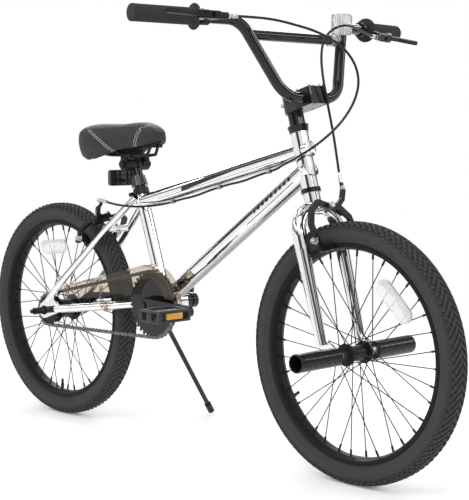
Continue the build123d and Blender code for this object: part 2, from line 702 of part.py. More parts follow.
def make_rim(hub, angle):
    """The rim, with hooked sides and a hole for the valve."""
    floor = rim_hole_radius + rim_wall
    outline = [
        (rim_hole_radius, -7), (rim_hole_radius + 4.5, -rim_half), (rim_radius, -rim_half),
        (rim_radius, rim_wall - rim_half), (floor + 3.8, rim_wall - rim_half), (floor, -7),
        (floor, 7), (floor + 3.8, rim_half - rim_wall), (rim_radius, rim_half - rim_wall),
        (rim_radius, rim_half), (rim_hole_radius + 4.5, rim_half), (rim_hole_radius, 7),
    ]
    turned(hub, outline)
    rod(valve_line(hub, angle, 190), valve_line(hub, angle, 225), 4.3, mode=Mode.SUBTRACT)


def make_spokes(hub, hole_radius, flange_at, first_angle):
    """Thirty-six spokes crossed three times, each with its nipple against the rim."""
    per_side = spoke_count // 2
    hole_step = 360 / per_side
    swing = spoke_crossing * hole_step
    for side in SIDES:
        for index in range(per_side):
            outer = index % 2 == 0
            lead = swing if outer else -swing
            hole_angle = first_angle + index * hole_step + (0 if side > 0 else hole_step / 2)
            rim_angle = hole_angle + lead
            stand_off = 4.7 if outer else -2.65
            start = hub + Vector(hole_radius * cos(radians(hole_angle)), side * (flange_at + stand_off),
                                 hole_radius * sin(radians(hole_angle)))
            end = hub + Vector((rim_hole_radius - 0.7) * cos(radians(rim_angle)), side * 2.5,
                               (rim_hole_radius - 0.7) * sin(radians(rim_angle)))
            rod(start, end, spoke_radius)
            nipple_start = end - (end - start).normalized() * nipple_length
            rod(nipple_start, end, nipple_radius)


front_valve_angle = -146.7
rear_valve_angle = -93.3
front_flange_at = 26.5
front_hole_radius = 18.5
for hub, angle, end in ((front_hub_at, front_valve_angle, "front"), (rear_hub_at, rear_valve_angle, "rear")):
    with BuildPart() as tyre:
        make_tyre(hub)
    save(tyre, end + "_tyre")
    with BuildPart() as inner_tube:
        make_tube(hub, angle)
    save(inner_tube, end + "_inner_tube")
    with BuildPart() as rim:
        make_rim(hub, angle)
    save(rim, end + "_rim")

rear_flange_at = 26.5
rear_hole_radius = 27.0
with BuildPart() as front_spokes:
    make_spokes(front_hub_at, front_hole_radius, front_flange_at, front_valve_angle + 5)
save(front_spokes, "front_spokes")
with BuildPart() as rear_spokes:
    make_spokes(rear_hub_at, rear_hole_radius, rear_flange_at, rear_valve_angle + 5)
save(rear_spokes, "rear_spokes")

cone_radius = 8.0
cone_start = 24.0
cone_end = 34.0
with BuildPart() as front_hub:
    bore = cone_radius + running_gap
    outline = [
        (bore, -33), (13, -33), (14, -28), (22, -28), (22, -25), (15, -25), (15, 25), (22, 25),
        (22, 28), (14, 28), (13, 33), (bore, 33), (bore, 23), (12, 20), (12, -20), (bore, -23),
    ]
    turned(front_hub_at, outline)
save(front_hub, "front_hub")

peg_base = 7.0
with BuildPart() as front_pegs:
    for side in SIDES:
        start = front_plate_outer + 0.02
        rod(front_hub_at + ACROSS * side * start, front_hub_at + ACROSS * side * (start + peg_length), peg_radius)
        rod(front_hub_at + ACROSS * side * (start + peg_base),
            front_hub_at + ACROSS * side * (start + peg_length + 2), peg_radius - peg_wall, mode=Mode.SUBTRACT)
        rod(front_hub_at + ACROSS * side * 40, front_hub_at + ACROSS * side * 90, axle_radius + seat_gap,
            mode=Mode.SUBTRACT)
save(front_pegs, "front_pegs")

nut_length = 9.0
with BuildPart() as front_axle:
    for side in SIDES:
        start = front_plate_outer + peg_base + 0.04
        nut_plane = Plane(origin=front_hub_at + ACROSS * side * start, x_dir=(1, 0, 0), z_dir=(0, side, 0))
        with BuildSketch(nut_plane) as hexagon:
            RegularPolygon(8.5, 6)
            Circle(axle_radius + seat_gap, mode=Mode.SUBTRACT)
        extrude(hexagon.sketch, amount=nut_length)
    rod(front_hub_at - ACROSS * front_axle_half, front_hub_at + ACROSS * front_axle_half, axle_radius)
    for side in SIDES:
        rod(front_hub_at + ACROSS * side * cone_start, front_hub_at + ACROSS * side * front_dropout_inside,
            cone_radius)
save(front_axle, "front_axle")

# ---- rear hub with coaster brake ------------------------------------------------------------
driver_radius = 10.0
driver_inner_end = -22.0
with BuildPart() as rear_hub:
    bore = driver_radius + running_gap
    outline = [
        (bore, -33), (20, -33), (22, -28), (31, -28), (31, -25), (22, -25), (22, 25), (31, 25),
        (31, 28), (22, 28), (20, 36), (bore, 36), (bore, 24), (17, 20), (17, -20), (bore, -23),
    ]
    turned(rear_hub_at, outline)
save(rear_hub, "rear_hub")

shoe_radius = 16.4
with BuildPart() as rear_axle:
    outline = [(axle_radius + 0.2, -17), (shoe_radius, -17), (shoe_radius, 17), (axle_radius + 0.2, 17)]
    turned(rear_hub_at, outline)
    with Locations(rear_hub_at):
        Box(2 * shoe_radius + 4, 40, 1.5, mode=Mode.SUBTRACT)
    for side in SIDES:
        start = rear_dropout_outside + 0.02
        pipe(rear_hub_at + ACROSS * side * start, rear_hub_at + ACROSS * side * (start + 2), 11.0,
             axle_radius + seat_gap)
        nut_plane = Plane(origin=rear_hub_at + ACROSS * side * (start + 2), x_dir=(1, 0, 0), z_dir=(0, side, 0))
        with BuildSketch(nut_plane) as hexagon:
            RegularPolygon(8.7, 6)
            Circle(axle_radius + seat_gap, mode=Mode.SUBTRACT)
        extrude(hexagon.sketch, amount=9)
        pipe(rear_hub_at + ACROSS * side * (start + 12), rear_hub_at + ACROSS * side * (start + 30), 8.0,
             axle_radius + seat_gap)
    rod(rear_hub_at - ACROSS * rear_axle_half, rear_hub_at + ACROSS * rear_axle_half, axle_radius)
    rod(rear_hub_at + ACROSS * 22, rear_hub_at + ACROSS * 45.9, driver_radius)
    rod(rear_hub_at + ACROSS * 50.1, rear_hub_at + ACROSS * rear_dropout_inside, cone_radius)
    rod(rear_hub_at - ACROSS * rear_dropout_inside, rear_hub_at - ACROSS * 51.5, cone_radius)
save(rear_axle, "rear_axle")

arm_inner = 46.0
arm_outer = 50.0
arm_end = Vector(-304, 0, 296)
clip_near = Vector(-240, 38, 284)
clip_far = Vector(chainstay_end.X, 58, chainstay_end.Z)
clip_along = (clip_far - clip_near).normalized()
clip_at = clip_near + clip_along * ((arm_end.X - clip_near.X) / clip_along.X)
with BuildPart() as coaster_arm:
    plate(arm_inner, arm_outer, [(rear_hub_at.X, rear_hub_at.Z, 17), (-424, 284, 9)])
    plate(arm_inner, arm_outer, [(-424, 284, 9), (arm_end.X, arm_end.Z, 6.5)])
    rod(rear_hub_at + ACROSS * 40, rear_hub_at + ACROSS * 60, axle_radius + seat_gap, mode=Mode.SUBTRACT)
    rod(arm_end + ACROSS * 40, arm_end + ACROSS * 60, 3.0 + seat_gap, mode=Mode.SUBTRACT)
    pipe(clip_at - clip_along * 6, clip_at + clip_along * 6, chainstay_radius + 2, chainstay_radius + seat_gap)
    with Locations((arm_end.X, arm_outer + 1.5, 291)):
        Box(12, 2.9, 26)
    rod(clip_at - clip_along * 9, clip_at + clip_along * 9, chainstay_radius + seat_gap, mode=Mode.SUBTRACT)
    rod(arm_end + ACROSS * 40, arm_end + ACROSS * 57, 3.0)
    rod(arm_end + ACROSS * 40, arm_end + ACROSS * 45.5, 5.0)
    rod(arm_end + ACROSS * 53, arm_end + ACROSS * 57, 5.0)
save(coaster_arm, "coaster_arm")

# ---- drivetrain -----------------------------------------------------------------------------
with BuildPart() as sprocket:
    pipe(rear_hub_at - ACROSS * 51, rear_hub_at + ACROSS * driver_inner_end, driver_radius,
         axle_radius + running_gap)
    pipe(rear_hub_at - ACROSS * 51, rear_hub_at - ACROSS * 39, 14.0, axle_radius + running_gap)
    disc_plane = Plane(origin=rear_hub_at - ACROSS * (chain_line - sprocket_thickness / 2), x_dir=(1, 0, 0),
                       z_dir=(0, -1, 0))
    with BuildSketch(disc_plane) as teeth:
        Circle(sprocket_radius + 2.2)
        with PolarLocations(sprocket_radius, sprocket_teeth, start_angle=5.4):
            Circle(roller_radius, mode=Mode.SUBTRACT)
        Circle(axle_radius + running_gap, mode=Mode.SUBTRACT)
    extrude(teeth.sketch, amount=sprocket_thickness)
save(sprocket, "rear_sprocket")

with BuildPart() as chainring:
    disc_plane = Plane(origin=bracket_at - ACROSS * (chain_line - sprocket_thickness / 2), x_dir=(1, 0, 0),
                       z_dir=(0, -1, 0))
    with BuildSketch(disc_plane) as teeth:
        Circle(ring_radius + 2.2)
        with PolarLocations(ring_radius, chainring_teeth):
            Circle(roller_radius, mode=Mode.SUBTRACT)
        Circle(spindle_radius + seat_gap, mode=Mode.SUBTRACT)
    extrude(teeth.sketch, amount=sprocket_thickness)
    rod(bracket_at - ACROSS * (chain_line + 1.5), bracket_at - ACROSS * (crank_inside - 0.02), 20.0)
    rod(bracket_at - ACROSS * 40, bracket_at - ACROSS * 70, spindle_radius + seat_gap, mode=Mode.SUBTRACT)
save(chainring, "chainring")

crank_outside = crank_inside + crank_thickness
right_pedal_at = bracket_at + Vector(crank_length, 0, 0)
left_pedal_at = bracket_at - Vector(crank_length, 0, 0)
with BuildPart() as crank:
    for side, eye in ((RIGHT, right_pedal_at), (LEFT, left_pedal_at)):
        inner, outer = sorted((side * crank_inside, side * crank_outside))
        plate(inner, outer, [(bracket_at.X, bracket_at.Z, 17.0), (eye.X, eye.Z, 11.5)])
    pipe(bracket_at + ACROSS * (shell_half + cup_lip + side_gap), bracket_at + ACROSS * crank_inside,
         15.0, spindle_radius - 1)
    pipe(bracket_at - ACROSS * (chain_line - sprocket_thickness / 2 - 0.02),
         bracket_at - ACROSS * (shell_half + cup_lip + side_gap), 15.0, spindle_radius - 1)
    rod(bracket_at - ACROSS * (crank_outside + 3), bracket_at + ACROSS * (crank_outside + 3), spindle_radius)
    for side, eye in ((RIGHT, right_pedal_at), (LEFT, left_pedal_at)):
        rod(eye + ACROSS * side * 50, eye + ACROSS * side * 90, pedal_pin_radius + 0.43, mode=Mode.SUBTRACT)
        rod(eye + ACROSS * side * (crank_inside + 1), eye + ACROSS * side * crank_outside, pedal_pin_radius + 0.4)
        rod(eye + ACROSS * side * crank_outside, eye + ACROSS * side * (pedal_inside + pedal_width - 12),
            pedal_pin_radius)
        rod(eye + ACROSS * side * (crank_outside + 0.02), eye + ACROSS * side * (crank_outside + 5), 9.0)
save(crank, "crank")

for side, eye, name in ((RIGHT, right_pedal_at, "pedal_right"), (LEFT, left_pedal_at, "pedal_left")):
    with BuildPart() as pedal:
        middle = eye + ACROSS * side * (pedal_inside + pedal_width / 2)
        with Locations(middle):
            Box(pedal_length, pedal_width, pedal_height)
        for offset in (-1, 1):
            with Locations(middle + Vector(offset * 20, 0, 0)):
                Box(16, pedal_width - 24, pedal_height + 2, mode=Mode.SUBTRACT)
        fillet(pedal.part.edges().filter_by(Axis.Z).group_by(SortBy.LENGTH)[-1], 2)
        rod(eye + ACROSS * side * 80, eye + ACROSS * side * (pedal_inside + pedal_width - 11),
            pedal_pin_radius + running_gap, mode=Mode.SUBTRACT)
    save(pedal, name)

# The chain is a closed belt of its links' outer size; each toothed wheel's rim runs inside it.
chain_lean = asin((ring_radius - sprocket_radius) / chain_centres)
chain_rise = atan2(bracket_rise, bracket_at.X - rear_hub_at.X)


def chain_outline(margin):
    """The chain's pitch loop moved outward by a margin."""
    with BuildLine() as loop:
        corners = []
        for turn in (1, -1):
            normal = chain_rise + turn * (pi / 2 + chain_lean)
            for centre, radius in ((rear_hub_at, sprocket_radius), (bracket_at, ring_radius)):
                corners.append((centre.X + (radius + margin) * cos(normal),
                                centre.Z + (radius + margin) * sin(normal)))
        rear_back = (rear_hub_at.X - (sprocket_radius + margin) * cos(chain_rise),
                     rear_hub_at.Z - (sprocket_radius + margin) * sin(chain_rise))
        ring_front = (bracket_at.X + (ring_radius + margin) * cos(chain_rise),
                      bracket_at.Z + (ring_radius + margin) * sin(chain_rise))
        Line(corners[0], corners[1])
        ThreePointArc(corners[1], ring_front, corners[3])
        Line(corners[3], corners[2])
        ThreePointArc(corners[2], rear_back, corners[0])
    return loop.line


with BuildPart() as chain:
    for start, end in ((chain_line - chain_width / 2, chain_line - sprocket_thickness / 2 - side_gap),
                       (chain_line + sprocket_thickness / 2 + side_gap, chain_line + chain_width / 2)):
        with BuildSketch(Plane.XZ.offset(start)) as belt:
            make_face(chain_outline(chain_plate_height / 2).edges())
            make_face(chain_outline(-chain_plate_height / 2).edges(), mode=Mode.SUBTRACT)
        extrude(belt.sketch, amount=end - start)
    with BuildSketch(Plane.XZ.offset(chain_line - sprocket_thickness / 2 - side_gap)) as rollers:
        make_face(chain_outline(chain_plate_height / 2).edges())
        make_face(chain_outline(2.5).edges(), mode=Mode.SUBTRACT)
    extrude(rollers.sketch, amount=sprocket_thickness + 2 * side_gap)
save(chain, "chain")

# ---- chain guard ----------------------------------------------------------------------------
guard_radius = 88.0
guard_cut_radius = 58.0
guard_face = 60.0
guard_wall = 2.0
guard_depth = 22.0
guard_tail_x = -385.0
tail_lift = 10.5


def chain_height(x):
    """Height of the chain's upper run at x."""
    normal = chain_rise + pi / 2 + chain_lean
    start = Vector(bracket_at.X + ring_radius * cos(normal), 0, bracket_at.Z + ring_radius * sin(normal))
    return start.Z + (x - start.X) * sin(chain_rise + chain_lean) / cos(chain_rise + chain_lean)


def guard_outline(inset):
    """The guard's face, with its top edge moved in by an inset."""
    outer = guard_radius - inset
    tail_top = chain_height(guard_tail_x) + tail_lift - inset
    lean = radians(16)
    with BuildLine() as edge:
        arc_end = (bracket_at.X - outer * sin(lean), bracket_at.Z + outer * cos(lean))
        Line((bracket_at.X + guard_cut_radius, bracket_at.Z), (bracket_at.X + outer, bracket_at.Z))
        ThreePointArc((bracket_at.X + outer, bracket_at.Z),
                      (bracket_at.X + outer * cos(radians(50)), bracket_at.Z + outer * sin(radians(50))), arc_end)
        Line(arc_end, (guard_tail_x, tail_top))
        Line((guard_tail_x, tail_top), (guard_tail_x, 286))
        Line((guard_tail_x, 286), (-214, 311))
        ThreePointArc((-214, 311), (-185, 319), (-160, 317))
        low = (bracket_at.X - guard_cut_radius * cos(radians(15)), bracket_at.Z + guard_cut_radius * sin(radians(15)))
        Line((-160, 317), low)
        ThreePointArc(low, (bracket_at.X, bracket_at.Z + guard_cut_radius),
                      (bracket_at.X + guard_cut_radius, bracket_at.Z))
    return edge.line


strap_x = -245.0
strap_z = 283.4
with BuildPart() as guard:
    with BuildSketch(Plane.XZ.offset(guard_face - guard_depth)) as shell_face:
        make_face(guard_outline(0).edges())
    extrude(shell_face.sketch, amount=guard_depth)
    with BuildSketch(Plane.XZ.offset(guard_face - guard_depth - 1)) as hollow:
        make_face(guard_outline(guard_wall).edges())
    extrude(hollow.sketch, amount=guard_depth + 1 - guard_wall, mode=Mode.SUBTRACT)
    with BuildSketch(Plane.XZ.offset(guard_face - guard_wall - 1.6)) as strap:
        with Locations((strap_x, strap_z + 24)):
            Rectangle(12, 48)
    extrude(strap.sketch, amount=1.58)
    strap_along = Vector(clip_along.X, -clip_along.Y, clip_along.Z)
    strap_at = Vector(-240, -38, 284) + strap_along * 5
    pipe(strap_at - strap_along * 5, strap_at + strap_along * 5, chainstay_radius + 1.8,
         chainstay_radius + seat_gap)
    rod(strap_at + Vector(0, -chainstay_radius - 1, 0), Vector(strap_at.X, -guard_face + guard_wall + 1.2, strap_at.Z),
        4.0)
    for height in (34, 42):
        head = Vector(strap_x, -guard_face - 0.02, strap_z + height)
        rod(head, head - ACROSS * 2, 3.2)
save(guard, "chain_guard")

# ---- kickstand ------------------------------------------------------------------------------
kick_pivot = Vector(-150, 37, 268)
kick_foot = Vector(-188, 232, 7)
kick_down = (kick_foot - kick_pivot).normalized()
kick_stowed = Vector(-0.965, 0.20, 0.17).normalized()
kick_axis = kick_down.cross(kick_stowed).normalized()
kick_swing = degrees(atan2(kick_down.cross(kick_stowed).length, kick_down.dot(kick_stowed)))
eye_radius = 9.5
eye_half = 8.0
kick_pin_radius = 4.0

with BuildPart() as kickstand_mount:
    with Locations((-142, 4, 279)):
        Box(34, 62, 12)
    with Locations((-150, 20, 268)):
        Box(26, 16, 26)
    cheek = kick_pivot - kick_axis * (eye_half + side_gap)
    rod(cheek - kick_axis * 9, cheek, 11.0)
    for side in SIDES:
        bent_rod(stay_route(side), [120, 120], chainstay_radius + seat_gap, mode=Mode.SUBTRACT)
    rod(kick_pivot - kick_axis * (eye_half + side_gap), kick_pivot + kick_axis * (eye_half + side_gap),
        eye_radius + 4, mode=Mode.SUBTRACT)
    rod(kick_pivot - kick_axis * (eye_half + 4), kick_pivot + kick_axis * (eye_half + side_gap), kick_pin_radius)
    rod(kick_pivot + kick_axis * (eye_half + side_gap), kick_pivot + kick_axis * (eye_half + 4), 7.0)
    with Locations((-142, 0, 304.5)):
        Box(26, 30, 4)
    rod((-142, 0, 273), (-142, 0, 311), 4.0)
    rod((-142, 0, 306.5), (-142, 0, 311), 6.5)
    for side in SIDES:
        bent_rod(stay_route(side), [120, 120], chainstay_radius + seat_gap, mode=Mode.SUBTRACT)
    rod(seat_tube_foot, seat_tube_top, seat_tube_radius + seat_gap, mode=Mode.SUBTRACT)
    rod(bracket_at - ACROSS * 50, bracket_at + ACROSS * 50, bracket_shell_radius + seat_gap, mode=Mode.SUBTRACT)
save(kickstand_mount, "kickstand_mount")

foot_length = 26.0
foot_radius = 8.0
leg_end = kick_pivot + kick_down * (kickstand_length - 14)
with BuildPart() as kickstand_leg:
    rod(leg_end - kick_down * (foot_length - 8), leg_end + kick_down * 8, foot_radius)
    rod(leg_end - kick_down * 40, leg_end, kickstand_radius + seat_gap, mode=Mode.SUBTRACT)
    rod(kick_pivot - kick_axis * eye_half, kick_pivot + kick_axis * eye_half, eye_radius)
    rod(kick_pivot, leg_end - kick_down * seat_gap, kickstand_radius)
    rod(kick_pivot - kick_axis * 20, kick_pivot + kick_axis * 20, kick_pin_radius + running_gap,
        mode=Mode.SUBTRACT)
save(kickstand_leg, "kickstand_leg")

# ---- saddle and seatpost --------------------------------------------------------------------
post_foot = seat_tube_top - seat_up * 145
post_top = post_foot + seat_up * seatpost_length
rail_side = 21.0
rail_radius = 3.5
clamp_at = post_top - seat_up * 12
with BuildPart() as seatpost:
    pipe(post_foot, post_top, seatpost_radius, seatpost_radius - 2)
save(seatpost, "seatpost")

rail_level = clamp_at.Z + 20.0
with BuildPart() as saddle_clamp:
    pipe(clamp_at - seat_up * 11, clamp_at + seat_up * 11, seatpost_radius + 3.5, seatpost_radius + seat_gap)
    for side in SIDES:
        rod(clamp_at + ACROSS * side * (seatpost_radius + 1), clamp_at + ACROSS * side * 34, 14.0)
        rod(clamp_at + ACROSS * side * 34, clamp_at + ACROSS * side * 41, 7.5)
        saddle_seat = Vector(clamp_at.X, side * rail_side, rail_level)
        with Locations(saddle_seat - Vector(0, 0, 3)):
            Box(34, 14, 13)
        rod(saddle_seat - Vector(40, 0, 0), saddle_seat + Vector(40, 0, 0), rail_radius + seat_gap,
            mode=Mode.SUBTRACT)
    rod(clamp_at - seat_up * 20, clamp_at + seat_up * 14, seatpost_radius + seat_gap, mode=Mode.SUBTRACT)
save(saddle_clamp, "saddle_clamp")

base_height = 653.0
base_thickness = 5.0


def rail_route(side):
    """Bends of one saddle rail, from the nose to the tail."""
    return [(-122, side * 10, base_height + 1), (-135, side * 12, rail_level + 2),
            (-160, side * rail_side, rail_level), (-252, side * rail_side, rail_level),
            (-290, side * 28, rail_level + 5), (-302, side * 30, base_height + 1)]


def saddle_plan(inset):
    """The saddle's outline seen from above, moved in by an inset."""
    right = [(-98 - inset, 0), (-103 - inset, -17 + inset * 0.6), (-122, -31 + inset), (-165, -38 + inset),
             (-205, -53 + inset), (-245, -71 + inset), (-282, -77 + inset), (-317 + inset * 0.6, -66 + inset),
             (-333 + inset, -38 + inset * 0.6), (-337 + inset, 0)]
    left = [(x, -y) for x, y in reversed(right[1:-1])]
    with BuildLine() as edge:
        Spline(*right, *left, periodic=True)
    return edge.line


with BuildPart() as saddle_cover:
    with BuildSketch(Plane.XY.offset(600)) as plan:
        make_face(saddle_plan(0).edges())
    extrude(plan.sketch, amount=120)
    with BuildSketch(Plane.XZ) as side_view:
        with BuildLine():
            top = Spline((-345, 664), (-329, 688), (-290, 696), (-220, 695), (-155, 699), (-118, 694), (-92, 672))
            nose = Spline(top @ 1, (-106, 657), (-140, 646), (-190, 640), (-240, 624), (-300, 616), (-345, 630))
            Line(nose @ 1, top @ 0)
        make_face()
    extrude(side_view.sketch, amount=100, both=True, mode=Mode.INTERSECT)
    with BuildSketch(Plane.XY.offset(590)) as pocket:
        make_face(saddle_plan(9).edges())
    extrude(pocket.sketch, amount=base_height + base_thickness + soft_gap - 590, mode=Mode.SUBTRACT)
save(saddle_cover, "saddle_cover")

with BuildPart() as saddle_base:
    with BuildSketch(Plane.XY.offset(base_height)) as plan:
        make_face(saddle_plan(9 + soft_gap + 0.4).edges())
    extrude(plan.sketch, amount=base_thickness)
    for side in SIDES:
        bent_rod(rail_route(side), [5, 8, 20, 5], rail_radius)
        for x, across in ((-122, 10), (-302, 30)):
            with Locations((x, side * across, base_height - 4)):
                Box(12, 12, 8)
save(saddle_base, "saddle_base")

band_foot = seat_tube_top + seat_up * 5
band_top = band_foot + seat_up * 24
with BuildPart() as rear_reflector:
    cone(band_foot, band_top, 19.0, 16.0)
    middle = band_foot + seat_up * 10
    back = Vector(-232, 0, 576)
    with Locations(((middle.X + back.X) / 2, 0, (middle.Z + 572) / 2)):
        Box(abs(back.X - middle.X) + 2, 14, 8)
    rod(band_foot - seat_up, band_top + seat_up, seatpost_radius + seat_gap, mode=Mode.SUBTRACT)
    with BuildSketch(Plane(origin=back, x_dir=(0, 1, 0), z_dir=(-1, 0, 0))) as lens:
        RectangleRounded(78, 36, 6)
    extrude(lens.sketch, amount=9)
save(rear_reflector, "rear_reflector")

reflector_at = Vector(crossbar_end.X, 104, crossbar_end.Z)
with BuildPart() as front_reflector:
    rod(reflector_at - ACROSS * 8, reflector_at + ACROSS * 8, crossbar_radius + 2.5)
    with Locations(reflector_at + Vector(12, 0, 6)):
        Box(14, 14, 16)
    with Locations(reflector_at + Vector(17, 4, 30)):
        Box(5, 12, 40)
    rod(reflector_at - ACROSS * 12, reflector_at + ACROSS * 12, crossbar_radius + seat_gap, mode=Mode.SUBTRACT)
    with BuildSketch(Plane(origin=reflector_at + Vector(19, 4, 31), x_dir=(0, 1, 0), z_dir=(1, 0, 0))) as lens:
        RectangleRounded(54, 42, 8)
    extrude(lens.sketch, amount=9)
save(front_reflector, "front_reflector")

# ---- wheel reflectors -----------------------------------------------------------------------
for hub, angle, radius, end in ((front_hub_at, 45.8, 156.0, "front"), (rear_hub_at, 95.6, 150.0, "rear")):
    with BuildPart() as wheel_reflector:
        outward = Vector(cos(radians(angle)), 0, sin(radians(angle)))
        inner_edge = radius - 17
        lean = (rim_hole_radius - inner_edge) / (rim_hole_radius - front_hole_radius)
        middle = hub + outward * radius - ACROSS * (2.5 + 28.7 * lean + spoke_radius + 0.3)
        with BuildSketch(Plane(origin=middle, x_dir=outward, z_dir=(0, -1, 0))) as lens:
            SlotOverall(100, 34, rotation=90)
        extrude(lens.sketch, amount=6)
    save(wheel_reflector, end + "_wheel_reflector")

# ---- brake cables ---------------------------------------------------------------------------
right_stop = lever_point(RIGHT, lever_forward + 2, -27.05)
left_stop = lever_point(LEFT, lever_forward + 2, -27.05)
front_stop = brake_point(front_brake, adjuster_across, adjuster_top + 0.6, y_arm_start + arm_thickness / 2)
rear_stop = brake_point(rear_brake, adjuster_across, adjuster_top + 0.6, y_arm_start + arm_thickness / 2)
guide_points = []
for fraction in guide_fractions:
    middle = top_tube_front + top_tube_run * fraction + ACROSS * guide_side + top_tube_down * guide_drop
    guide_points.append(middle)


def bend_radii(points):
    """For each corner, 0.45 of the shorter run divided by the tangent of half the turn."""
    radii = []
    for before, here, after in zip(points[:-2], points[1:-1], points[2:]):
        arriving = Vector(*here) - Vector(*before)
        leaving = Vector(*after) - Vector(*here)
        half_turn = radians(arriving.get_angle(leaving)) / 2
        radii.append(0.45 * min(arriving.length, leaving.length) * cos(half_turn) / sin(half_turn))
    return radii


def make_cable(route, name):
    """A brake cable's outer housing along a route, with its radii and volume printed."""
    radii = bend_radii(route)
    with BuildPart() as cable:
        with BuildLine() as path:
            FilletPolyline(*route, radius=radii)
        with BuildSketch(Plane(origin=path.line @ 0, z_dir=path.line % 0)) as section:
            Circle(cable_radius)
        sweep(section.sketch, path=path.line)
    length = sum(edge.length for edge in path.line.edges())
    print(name, "length", round(length, 1), "radii", [round(radius) for radius in radii],
          "volume ratio", round(cable.part.volume / (pi * cable_radius ** 2 * length), 4))
    save(cable, name)


along_top = top_tube_run.normalized()
loop_end = guide_points[0] - along_top * 0.3
rear_cable_loop_route = [
    right_stop, lever_point(RIGHT, lever_forward + 2, -57), (350, -118, 892), (362, -70, 884),
    (378, -20, 872), (396, 24, 850), (410, 52, 818), (416, 62, 778), (412, 52, 738), (402, 30, 702),
    (386, 4, 672), (366, -20, 648), (340, -30, 632), (306, -24, 620), (276, -12, 612),
    guide_points[0] - along_top * 22, loop_end,
]
make_cable(rear_cable_loop_route, "rear_cable_loop")

sag = top_tube_down * 4 - ACROSS * 3
rear_cable_route = [
    guide_points[0] + along_top * 0.3, guide_points[0] + along_top * 25,
    (guide_points[0] + guide_points[1]) / 2 + sag, guide_points[1] - along_top * 25,
    guide_points[1] + along_top * 25, (guide_points[1] + guide_points[2]) / 2 + sag,
    guide_points[2] - along_top * 25, guide_points[2] + along_top * 25,
    (-134, -22, 514), (-166, -30, 510), (-200, -37, 512), rear_stop + rear_brake.y_dir * 30, rear_stop,
]
make_cable(rear_cable_route, "rear_brake_cable")

front_cable_route = [
    left_stop, lever_point(LEFT, lever_forward + 2, -57), (350, 126, 888), (356, 90, 892), (350, 58, 884),
    (344, 36, 862), (350, 22, 828), (362, 16, 790), (374, 14, 752),
    (384, 18, 712), (390, 28, 674), (392, 38, 640), front_stop + steer_up * 26, front_stop,
]
make_cable(front_cable_route, "front_brake_cable")
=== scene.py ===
"""The looks of a BMX bicycle, built round its mechanical model."""

import math

import bmesh
import bpy
from bpy.props import FloatProperty, FloatVectorProperty, IntProperty, PointerProperty
from mathutils import Matrix, Vector


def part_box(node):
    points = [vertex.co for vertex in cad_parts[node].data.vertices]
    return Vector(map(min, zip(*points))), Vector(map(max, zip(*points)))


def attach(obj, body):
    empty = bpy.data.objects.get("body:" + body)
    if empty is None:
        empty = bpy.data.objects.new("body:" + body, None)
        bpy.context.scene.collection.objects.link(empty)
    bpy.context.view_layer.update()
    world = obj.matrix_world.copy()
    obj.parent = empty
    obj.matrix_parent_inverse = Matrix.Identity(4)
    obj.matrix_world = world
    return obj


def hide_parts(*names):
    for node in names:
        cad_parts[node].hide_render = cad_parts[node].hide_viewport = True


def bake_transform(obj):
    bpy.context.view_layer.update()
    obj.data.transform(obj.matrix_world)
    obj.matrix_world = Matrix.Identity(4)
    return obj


bl_info = {
    "name": "BMX bicycle",
    "version": (1, 0, 0),
    "blender": (4, 5, 0),
    "location": "View3D > Sidebar > BMX",
    "description": "Tyres, saddle, chain, grips and finishes of a BMX bicycle",
    "category": "Add Mesh",
}

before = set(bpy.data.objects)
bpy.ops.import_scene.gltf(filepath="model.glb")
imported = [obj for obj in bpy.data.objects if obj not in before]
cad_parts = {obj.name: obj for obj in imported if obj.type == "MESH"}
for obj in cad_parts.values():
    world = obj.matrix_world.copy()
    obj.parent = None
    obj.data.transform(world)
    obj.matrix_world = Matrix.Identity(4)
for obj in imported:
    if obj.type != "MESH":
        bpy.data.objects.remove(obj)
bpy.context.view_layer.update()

MM = 0.001
X = Vector((1, 0, 0))
Y = Vector((0, 1, 0))
Z = Vector((0, 0, 1))
SIDES = (-1, 1)

FRONT_HUB = Vector((0.4625, 0, 0.255))
REAR_HUB = Vector((-0.4625, 0, 0.255))
BRACKET = Vector((-0.0802994, 0, 0.303))
TYRE_RADIUS = 0.255
WHEEL_STANCE = FRONT_HUB.x
CHAIN_PITCH = 0.0127
CHAIN_LINKS = 88
CHAIN_LINE = -0.045
RING_TEETH = 36
SPROCKET_TEETH = 18
RING_RADIUS = CHAIN_PITCH / (2 * math.sin(math.pi / RING_TEETH))
SPROCKET_RADIUS = CHAIN_PITCH / (2 * math.sin(math.pi / SPROCKET_TEETH))
CRANK_LENGTH = 0.14
PEDAL_OFFSET = 0.133
GRIP_LENGTH = 0.134
CABLE_RADIUS = 0.0025
WIRE_RADIUS = 0.0008
STEER_UP = Vector((-0.27228, 0, 0.962218))
STEER_FOOT = Vector((0.435558, 0, 0.247376))
SEAT_UP = Vector((-0.325568, 0, 0.945519))
BAR_END = Vector((0.248, 0.374, 0.895))
RISER_TOP = Vector((0.2945, 0.146, 0.892))
FRONT_SHOE = Vector((0.4065, 0.0520, 0.4730))
REAR_SHOE = Vector((-0.3295, 0.0520, 0.4354))
TOP_TUBE_FRONT = Vector((0.345, 0, 0.6479))
TOP_TUBE_REAR = Vector((-0.172, 0, 0.5212))
TOP_TUBE_NORMAL = Vector((-0.2380, 0, 0.9713))
TOP_TUBE_RADIUS = 0.0159
DOWN_TUBE_FRONT = Vector((0.345, 0, 0.6104))
DOWN_TUBE_NORMAL = Vector((-0.5731, 0, 0.8195))
DOWN_TUBE_RADIUS = 0.01905
HEAD_TUBE_RADIUS = 0.0175
SEAT_TUBE_RADIUS = 0.0143
SHELL_RADIUS = 0.0285


# ---- sizes and colours a user would change --------------------------------------------------
def colour(name, description, default):
    """A colour setting."""
    return FloatVectorProperty(name=name, description=description, default=default, subtype="COLOR", min=0, max=1)


